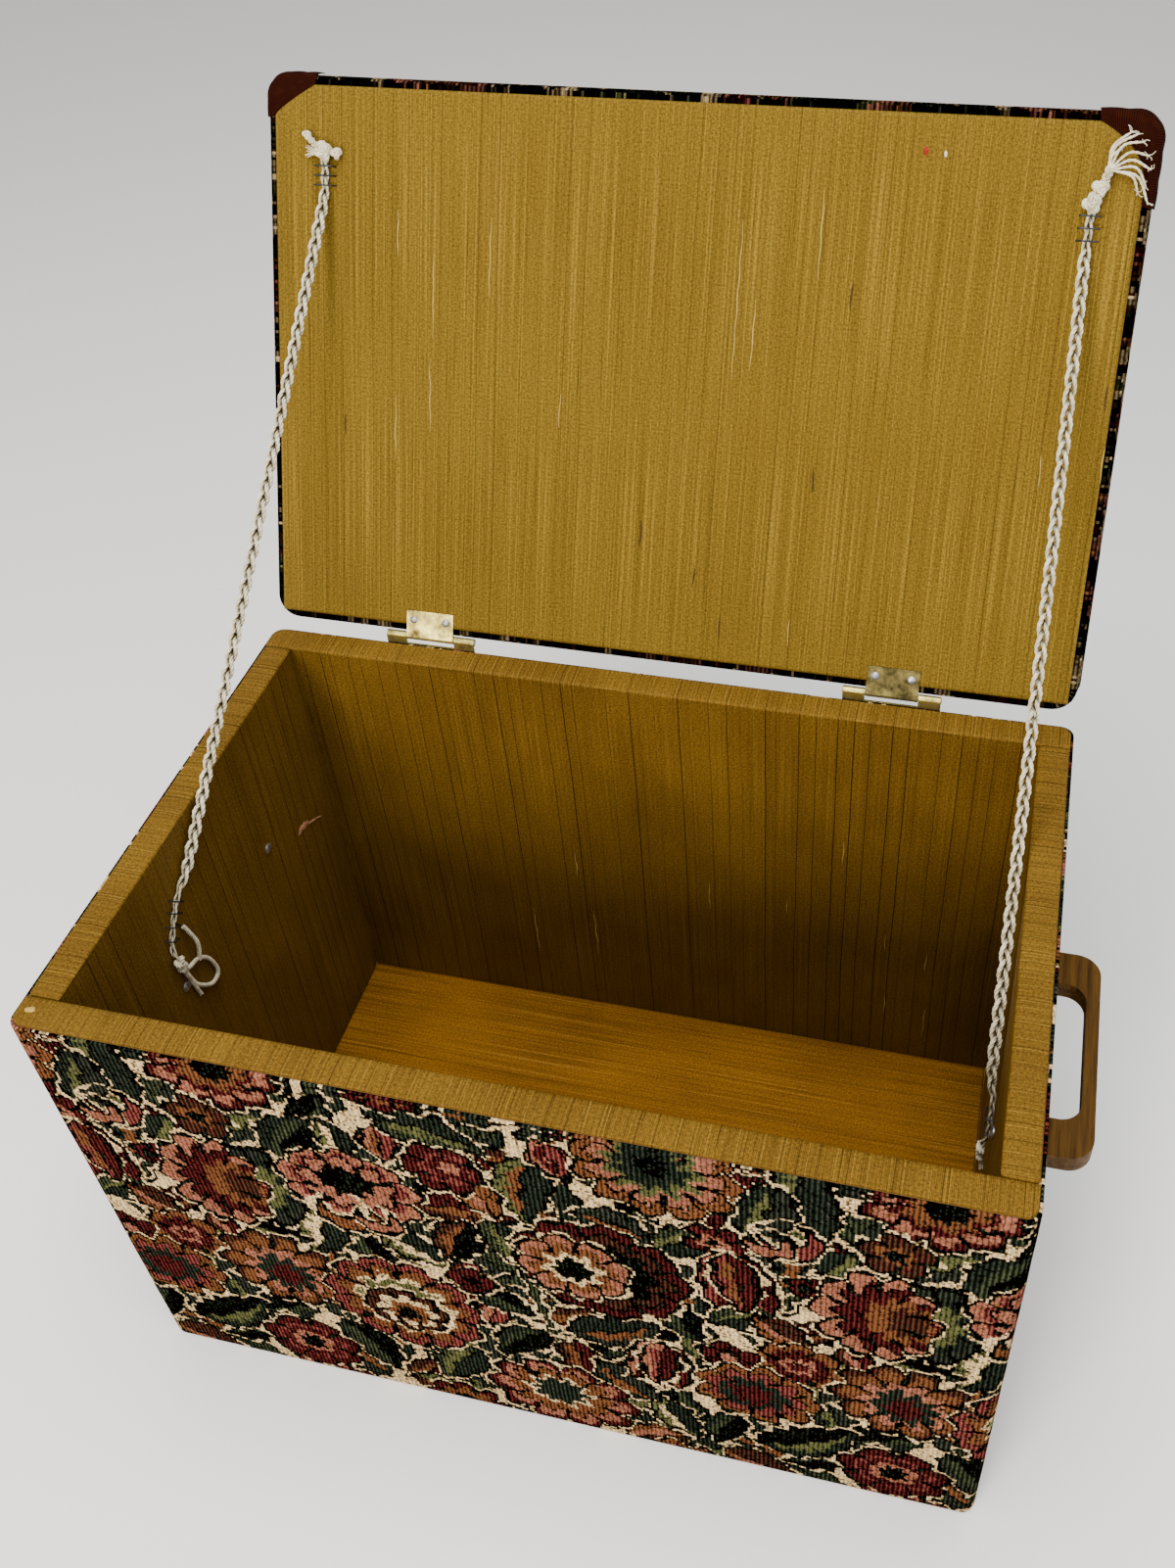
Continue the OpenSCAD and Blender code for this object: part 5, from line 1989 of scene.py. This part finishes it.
@dataclass
class CornerFold:
    """Rust ribbed cloth folded over a free corner of the lid, seen between lining and tapestry.

    Columns follow the corner from its side edge to its free edge. Rows run from under the lining's
    cut edge to the rim and on down the flank; shallow waves make its gathered folds. INSIDE has
    each row's share of the way to the rim, its shift under the lining and h; FLANK has how far
    each row stands beyond the rim and h.
    """

    plane: LidPlane
    finishes: Finishes
    side: str
    cut: tuple[float, float, float]
    half: float = 254.0
    far: float = 331.5
    lid_x: float = 258.0
    lid_s: float = 335.5
    corner: float = 12.0
    INSIDE = ((0, -2.5, -1.55), *((share, 0, -1.5) for share in (0.12, 0.3, 0.5, 0.7, 0.88)))
    FLANK = ((-1, -1.5), (0.3, -1.8), (1.6, -2.8), (2.6, -5), (3.2, -8), (3.5, -11), (3.5, -13.5))
    BEND, FOLDS, RIPPLE, THICK = -3, 5, 0.45, 0.5

    def make(self) -> None:
        """Makes the folded cloth as a thin closed sheet."""
        sign = -1 if self.side == "left" else 1
        wide, long, bow = self.cut
        t = np.linspace(0, 1, 61)
        inner = np.stack([self.half - wide * t**bow, self.far - long + long * t], -1)
        rim = self.rim(t, wide, long)
        outward = unit(np.gradient(rim, axis=0) @ np.array([[0, -1], [1, 0]]))
        middle = len(t) // 2
        outward = -outward if outward[middle] @ np.array([1, 1]) < 0 else outward
        rows = []
        for share_out, back, h in self.INSIDE:
            flat = inner + (rim - inner) * share_out + back * np.array([1, wide / long])[None] * 0.5
            rows.append(np.column_stack([flat, np.full(len(t), h)]))
        for grow, h in self.FLANK:
            rows.append(np.column_stack([rim + outward * grow, np.full(len(t), h)]))
        face = np.array(rows)
        wave = self.RIPPLE * np.abs(np.sin(math.pi * self.FOLDS * t))
        self.swell(face, outward, wave[None] * np.linspace(0.2, 1, len(rows))[:, None])
        under = face[::-1].copy()
        self.swell(under, outward, -self.THICK)
        loop = np.concatenate([face, under])
        points = self.plane.at(sign * loop[..., 0], loop[..., 1], loop[..., 2])
        cloth = Surface()
        cloth.band(points, walked(rim), np.append(walked(loop[:, middle]), 0))
        obj = cloth.make(f"{self.side}_corner_cloth", self.finishes.corner)
        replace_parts(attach(obj, LID), f"{self.side}_corner_fold")

    def swell(self, face: Array, outward: Array, amount: Any) -> None:
        """Moves the cloth off the board: up above the bend, outward below it."""
        face[..., 2] += amount * (face[..., 2] > self.BEND)
        face[..., :2] += outward[None] * (amount * (face[..., 2] <= self.BEND))[..., None]

    def rim(self, t: Array, wide: float, long: float) -> Array:
        """The lid's outline round the corner, from the side edge to the free edge, at shares t.

        Args:
            t: shares of the way, 0 to 1.
            wide: width of the fold along the free edge.
            long: its length along the side edge.
        Returns:
            Points (x, s).
        """
        turn = np.linspace(0, math.pi / 2, 24)
        r = self.corner
        arc = np.array([self.lid_x - r, self.lid_s - r]) + r * np.stack([np.cos(turn), np.sin(turn)], -1)
        line = np.vstack([(self.lid_x, self.far - long - 1), arc, (self.half - wide - 1, self.lid_s)])
        run = walked(line)
        at = t * run[-1]
        return np.stack([np.interp(at, run, line[:, k]) for k in (0, 1)], -1)

    @staticmethod
    def area(face: Array) -> float:
        """Area of a grid of points, in square metres."""
        across, down = face[:-1, 1:] - face[:-1, :-1], face[1:, :-1] - face[:-1, :-1]
        return float(np.linalg.norm(np.cross(across, down), axis=-1).sum()) * MM * MM


@dataclass
class LidCushion:
    """Padded top of the lid: foam under tapestry that wraps the edge and is tacked below as a hem.

    Places on the cloth are (a, b) from its middle. Inside the core rectangle the cloth stands
    level with the crown; outside it, the distance walked over the edge gives how far out and how
    high the cloth is, read from the rim section. In a corner the square of cloth is gathered into
    a quarter circle: the larger of the two distances is the radius, their ratio the angle. RIM has
    the distance outward and the depth of the section; its first FACE points are in sight.
    """

    plane: LidPlane
    loom: Loom
    finishes: Finishes
    half_x: float = 244.0
    half_s: float = 152.05
    middle: float = 169.45
    crown: float = 5.2
    step: float = 1.6
    RIM = (
        (0, 33.2), (4, 32.6), (8, 31.6), (11.5, 30.2), (14, 28.2), (15.6, 25.5), (16.3, 22),
        (16.6, 18.5), (16.4, 15.2), (16.0, 11), (15.4, 6.8), (14.8, 4.4), (14.2, 2.9), (13.2, 2.1),
        (10, 2.0), (-2, 2.0), (-2.3, 2.5), (-2, 3.1), (11.8, 3.1), (12.1, 8), (12.1, 15.3),
    )
    FACE = 14
    ORIGIN = (260, 171)
    # Stitches lower than SHADE_BELOW mm over the lining face get painted shade.
    SHADE_BELOW = 13

    def inflate(self, wide: int, high: int) -> Array:
        """Bulge of the top, 0 to 1, on a coarse grid.

        A cloth sheet pinned round its edge is blown up for twenty frames and its height is divided
        by its largest.

        Args:
            wide: number of columns.
            high: number of rows.
        Returns:
            The grid of heights.
        """
        x, y = np.meshgrid(np.linspace(-1, 1, wide), np.linspace(-1, 1, high))
        sheet = Surface()
        sheet.grid(np.stack([x * self.half_x, y * self.half_s, np.zeros_like(x)], -1))
        obj = sheet.make("inflating_sheet", self.finishes.tapestry)
        pins = obj.vertex_groups.new(name="rim")
        rim = np.flatnonzero((np.abs(x.ravel()) > 0.999) | (np.abs(y.ravel()) > 0.999))
        pins.add([int(k) for k in rim], 1.0, "REPLACE")
        cloth = obj.modifiers.new("cloth", "CLOTH").settings
        cloth.quality, cloth.mass = 8, 0.25
        cloth.tension_stiffness = cloth.compression_stiffness = 25
        cloth.use_pressure, cloth.uniform_pressure_force = True, 4
        cloth.vertex_group_mass = "rim"
        cloth.effector_weights.gravity = 0
        for number in range(1, 21):
            bpy.context.scene.frame_set(number)
        shape = obj.evaluated_get(bpy.context.evaluated_depsgraph_get()).data
        co = np.empty(len(shape.vertices) * 3, np.float32)
        shape.vertices.foreach_get("co", co)
        bpy.context.scene.frame_set(1)
        bpy.data.objects.remove(obj)
        bulge = np.abs(co.reshape(high, wide, 3)[..., 2])
        LOG.info("lid bulge from the cloth: %.1f mm", float(bulge.max()) / MM)
        return bulge / max(float(bulge.max()), 1e-6)

    def make(self) -> None:
        """Makes the cushion round the lid board."""
        rim = np.array(self.RIM)
        walk = walked(rim)
        out = np.concatenate([spaced(0, walk[self.FACE - 1], self.step)[1:], walk[self.FACE :]])
        a, b = (
            np.concatenate([-half - out[::-1], spaced(-half, half, self.step), half + out])
            for half in (self.half_x, self.half_s)
        )
        ga, gb = np.meshgrid(a, b)
        da, db = np.maximum(np.abs(ga) - self.half_x, 0), np.maximum(np.abs(gb) - self.half_s, 0)
        far = np.maximum(da, db)
        eighth, least = math.pi / 4, 1e-9
        low_half, high_half = eighth * db / np.maximum(da, least), eighth * da / np.maximum(db, least)
        angle = np.where(far > 0, np.where(da >= db, low_half, 2 * eighth - high_half), 0)
        reach, depth = np.interp(far, walk, rim[:, 0]), np.interp(far, walk, rim[:, 1])
        fold = (da > 0) & (db > 0) & (depth < 27) & (depth > 3.2) & (far < walk[self.FACE])
        reach = reach - np.where(fold, 0.7 * np.abs(np.sin(5 * angle)) ** 0.5, 0)
        x = np.clip(ga, -self.half_x, self.half_x) + reach * np.cos(angle) * np.sign(ga) * (da > 0)
        y = np.clip(gb, -self.half_s, self.half_s) + reach * np.sin(angle) * np.sign(gb) * (db > 0)
        depth = depth + self.crown * self.lift(ga, gb)
        soft = 0.5 * value_noise(ga + 900, gb + 900, 60, 41) * np.clip((20 - far) / 20, 0, 1)
        cloth = Surface()
        uv = np.dstack([ga + self.ORIGIN[0], gb + self.ORIGIN[1]])
        middles = ((k[1:] + k[:-1]) / 2 + start for k, start in zip((a, b), self.ORIGIN))
        dye = self.loom.at(*np.meshgrid(*middles))
        # Painted shade on the flank and hem: stitches below SHADE_BELOW are darkened the lower they lie, to
        # about 0.04; one in seven is kept at 0.45.
        low = (depth[1:, 1:] + depth[:-1, :-1]) / 2
        bright = np.random.default_rng(SEED + 9).random(low.shape) < 0.14
        dim = np.where(bright, 0.45, np.clip(low / self.SHADE_BELOW, 0.12, 1) ** 1.5)
        dye = dye * np.where(low < self.SHADE_BELOW, dim, 1)[..., None]
        ids = cloth.grid(self.plane.at(x, self.middle + y, -(depth + soft * (far < 12))), uv=uv, dye=dye)
        cloth.cap(cloth.border(ids)[::-1], dye=(0.3, 0.25, 0.2))
        obj = cloth.make("lid_cushion", self.finishes.tapestry)
        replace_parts(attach(obj, LID), "lid_cover", "lid_padding")

    def lift(self, a: Array, b: Array) -> Array:
        """Bulge at every place of the cloth, read between the points of the coarse grid.

        Args:
            a: places across, 0 in the middle.
            b: places along s, 0 in the middle.
        Returns:
            Bulge of each place, 0 to 1.
        """
        wide, high = 49, 33
        coarse = self.inflate(wide, high)
        i = np.clip((a / self.half_x + 1) / 2, 0, 1) * (wide - 1)
        j = np.clip((b / self.half_s + 1) / 2, 0, 1) * (high - 1)
        i0, j0 = np.minimum(i.astype(int), wide - 2), np.minimum(j.astype(int), high - 2)
        return read_grid(coarse, i0, j0, i - i0, j - j0)


@dataclass
class DustCover:
    """Black fleece under the box, pulled flat between tacks with shallow hollows along the edge."""

    finishes: Finishes
    half_x: float = 250.0
    half_y: float = 155.0
    TACKS, HOLLOW, THICK = 40, 12, 0.4

    def make(self) -> None:
        """Makes the fleece as a thin closed sheet."""
        x, y = np.meshgrid(spaced(-self.half_x, self.half_x, 4), spaced(-self.half_y, self.half_y, 4))
        edge = np.minimum(self.half_x - np.abs(x), self.half_y - np.abs(y))
        tack = np.cos(2 * math.pi * (x + y) / self.TACKS) * np.exp(-edge / self.HOLLOW)
        z = 0.12 + 0.1 * (1 + tack)
        fleece = Surface()
        low = fleece.grid(np.dstack([x, y, z]))
        top = fleece.grid(np.dstack([x, y, z + self.THICK])[::-1])
        fleece.join(fleece.border(low), fleece.border(top[::-1]))
        obj = fleece.make("dust_fleece", self.finishes.dust)
        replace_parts(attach(obj, BOX), "dust_cover")


class Edge(Enum):
    """How far the edges of a hard piece are worn round, in millimetres."""

    SANDED = 1.6
    STAMPED = 0.28
    TURNED = 0.14


@dataclass
class Hardware:
    """Hard pieces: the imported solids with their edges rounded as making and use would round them.

    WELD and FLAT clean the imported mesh: points closer than WELD metres are one, and faces that
    meet at less than FLAT degrees are one. An edge over SHARP degrees is rounded.
    """

    finishes: Finishes
    WELD, FLAT, SHARP = 2e-6, 0.8, 40

    def soften(self, node: str, body: str, material: bpy.types.Material, edge: Edge) -> None:
        """Shows a copy of a CAD node whose sharp edges are rounded.

        Args:
            node: CAD node to copy and stand for.
            body: body that it rides on.
            material: finish.
            edge: how far the edges are rounded.
        """
        mesh = frame["nodes"][node].data.copy()
        mesh.name = f"soft_{node}"
        shape = bmesh.new()
        shape.from_mesh(mesh)
        bmesh.ops.remove_doubles(shape, verts=shape.verts, dist=self.WELD)
        flat = math.radians(self.FLAT)
        bmesh.ops.dissolve_limit(shape, angle_limit=flat, verts=shape.verts, edges=shape.edges)
        bmesh.ops.recalc_face_normals(shape, faces=shape.faces)
        shape.to_mesh(mesh)
        shape.free()
        mesh.materials.clear()
        mesh.materials.append(material)
        mesh.shade_smooth()
        mesh.set_sharp_from_angle(angle=math.radians(self.SHARP))
        obj = bpy.data.objects.new(f"soft_{node}", mesh)
        bpy.context.scene.collection.objects.link(obj)
        bevel = obj.modifiers.new("soft_edges", "BEVEL")
        bevel.width, bevel.segments = edge.value * MM, 3
        bevel.limit_method, bevel.angle_limit = "ANGLE", math.radians(self.SHARP)
        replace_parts(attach(obj, body), node)
        LOG.info("%s: %d faces before rounding", obj.name, len(mesh.polygons))

    def make(self) -> None:
        """Softens the visible fittings and gives the hidden ones their finish."""
        f = self.finishes
        for side in ("left", "right"):
            self.soften(f"{side}_handle", BOX, f.handle, Edge.SANDED)
            self.soften(f"{side}_hinge_box_leaf", BOX, f.brass, Edge.STAMPED)
            leaf = f.tarnished if side == "right" else f.brass
            self.soften(f"{side}_hinge_lid_leaf", LID, leaf, Edge.STAMPED)
            self.soften(f"{side}_hinge_pin", BOX, f.steel, Edge.STAMPED)
        for node, body in (("lid_leaf_screws", LID), ("box_leaf_screws", BOX), ("handle_screws", BOX)):
            self.soften(node, body, f.steel, Edge.TURNED)
        kept = {
            f.board: [f"{place}_board" for place in ("front", "back", "left", "right", "bottom", "lid")],
            f.steel: ("corner_screws", "bottom_pins"),
        }
        for material, nodes in kept.items():
            for node in nodes:
                mesh = frame["nodes"][node].data
                mesh.materials.clear()
                mesh.materials.append(material)


@dataclass
class Marks:
    """Small signs of use: two specks on the lid, a pink scuff inside the left wall, a rubbed corner.

    Each is a thin domed patch whose outline wanders round an oval. FLAKES has the y, z, half
    length, half width and lean of each part of the scuff.
    """

    plane: LidPlane
    plan: Plan
    finishes: Finishes
    FLAKES = (
        (123, 198, 4, 0.6, -0.6), (114, 203, 6.5, 1.1, -0.5),
        (104, 208.5, 5.5, 2.7, -0.35), (98.5, 210, 3.5, 2.2, 0.4),
    )

    @staticmethod
    def patch(
        surface: Surface, middle: Array, long: Array, short: Array, rise: Array, seed: int
    ) -> None:
        """Adds one patch.

        Args:
            surface: what to add to.
            middle: centre of its foot.
            long: half length as a vector.
            short: half width as a vector.
            rise: height as a vector.
            seed: number that picks the outline.
        """
        turn = np.linspace(0, 2 * math.pi, 20, endpoint=False)
        edge = 1 + 0.3 * value_noise(3 * np.cos(turn) + 9, 3 * np.sin(turn) + 9, 1, seed)
        share = np.array([1, 0.97, 0.85, 0.6, 0.3, 0.05])
        flat = np.cos(turn)[:, None] * long + np.sin(turn)[:, None] * short
        dome = np.sqrt(1 - share**2)[:, None, None] * rise
        points = middle + (share[:, None] * edge)[..., None] * flat + dome
        ids = surface.grid(points, wrap_cols=True)
        surface.cap(ids[0][::-1])
        surface.cap(ids[-1])

    def show(self, surface: Surface, name: str, material: bpy.types.Material, body: str) -> None:
        """Makes one piece of the patches added so far."""
        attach(surface.make(name, material), body)

    def make(self) -> None:
        """Makes all marks."""
        across, along, out = np.array([1.0, 0, 0]), self.plane.along, self.plane.out
        for name, material, x, s, wide, high in (
            ("lid_red_speck", self.finishes.red, 136, 311.7, 1.6, 2.4),
            ("lid_white_speck", self.finishes.cotton, 147, 310.7, 0.9, 1.7),
        ):
            speck = Surface()
            self.patch(speck, self.plane.at(x, s, -0.2), high * along, wide * across, 0.75 * out, 61)
            self.show(speck, name, material, LID)
        scuff, inward = Surface(), np.array([0.8, 0, 0])
        wall_x = -self.plan.face_x - 0.35
        for y, z, size, wide, lean in self.FLAKES:
            way = np.array([0, math.cos(lean), math.sin(lean)])
            side = np.array([0, -math.sin(lean), math.cos(lean)])
            self.patch(scuff, np.array([wall_x, y, z]), -size * way, wide * side, inward, int(y))
        self.show(scuff, "left_wall_scuff", self.finishes.pink, BOX)
        rub = Surface()
        place = np.array([-251.0, -153.5, self.plan.rim_z - 0.1])
        self.patch(rub, place, np.array([3.2, 0.8, 0]), np.array([-0.4, 1.7, 0]), np.array([0, 0, 0.75]), 63)
        self.show(rub, "rim_corner_rub", self.finishes.slub_pale, BOX)


def stay_cords(plane: LidPlane, finishes: Finishes) -> tuple[StayCord, StayCord]:
    """The two cords with their routes, staples, knots and loops, in millimetres.

    Args:
        plane: axes of the lid.
        finishes: materials.
    Returns:
        The left cord and the right cord.
    """
    left = LeftCord(
        side="left",
        plane=plane,
        finishes=finishes,
        wall=(
            (-235.2, -60, 266, 1.8), (-237, -60, 270, 1.8), (-237.9, -57, 276, 1.8), (-237.9, -48, 288, 1.8),
            (-237.6, -38, 298, 1.9), (-235.5, -30, 305, 2.95), (-234.5, -20, 314, 3.75),
        ),
        lid=(
            (-220, 260, 8, 3.75), (-220, 268, 4.6, 3.25), (-220, 274, 3, 2.6),
            (-220, 287, 3, 2.6), (-220, 290.6, 3.4, 2.6),
        ),
        wall_staples=((-56, 277.3, 37), (-51, 284, 37), (-46, 290, 45), (-41, 295, 45)),
        lid_staples=(275, 280.5, 286),
        wall_knots=((-235.2, -60, 261.6, 4.6), (-235.8, -58.6, 256.4, 4.0)),
        loops=(
            (
                (-235.6, -59, 257), (-237.2, -53, 248), (-238, -42, 243), (-238.2, -33, 232),
                (-238.2, -29.5, 216), (-238.2, -38, 214), (-238, -50, 228), (-237.2, -55.5, 244),
                (-235.6, -58.5, 257),
            ),
            (
                (-238.2, -41, 241), (-236.4, -40, 250), (-236, -40, 258), (-237.2, -41.5, 267),
                (-238, -43.5, 275),
            ),
            ((-236, -59, 254), (-237.6, -56, 244), (-238.2, -53, 232), (-238.2, -50.5, 219)),
        ),
    )
    right = RightCord(
        side="right",
        plane=plane,
        finishes=finishes,
        wall=(
            (235.2, -46, 204, 1.8), (237, -46, 209, 1.8), (237.9, -46, 215, 1.8), (237.9, -44, 229, 1.8),
            (237.6, -41, 241, 1.9), (235.5, -36, 251, 2.95), (234.8, -27, 262, 3.75),
        ),
        lid=(
            (228, 255, 8, 3.75), (228, 263, 4.6, 3.25), (228, 269, 3, 2.6),
            (228, 284, 3, 2.6), (228, 287.6, 3.4, 2.6),
        ),
        wall_staples=((-45.4, 219, 8), (-43.6, 231, 12)),
        lid_staples=(270, 276.5, 283),
        wall_knots=((235.2, -46, 199.6, 4.6), (235.5, -46.4, 194, 4.0)),
        loops=(((235.6, -46, 192.5), (236.6, -47.5, 188.5), (237.2, -49, 184)),),
    )
    return left, right


def main() -> None:
    """Builds the scene: camera, cords, cloth, lid, fittings and light."""
    studio = Studio()
    studio.camera()
    plan, plane, finishes, loom = Plan(), LidPlane(), Finishes(), Loom()
    cords = stay_cords(plane, finishes)
    for cord in cords:
        cord.make()
    Staples(plane, plan, finishes, cords).make()
    loom.weave(motifs())
    WallCovers(plan, loom, finishes, Outline(plan)).make()
    BoxLining(plan, finishes).make()
    FloorPanel(plan, finishes).make()
    DustCover(finishes).make()
    LidCushion(plane, loom, finishes).make()
    lining = LidLining(plane, finishes)
    lining.make()
    for side, cut in (("left", lining.left_cut), ("right", lining.right_cut)):
        CornerFold(plane, finishes, side, cut).make()
    Hardware(finishes).make()
    Marks(plane, plan, finishes).make()
    studio.light()
    studio.floor(finishes.paper)


if __name__ == "__main__":
    main()
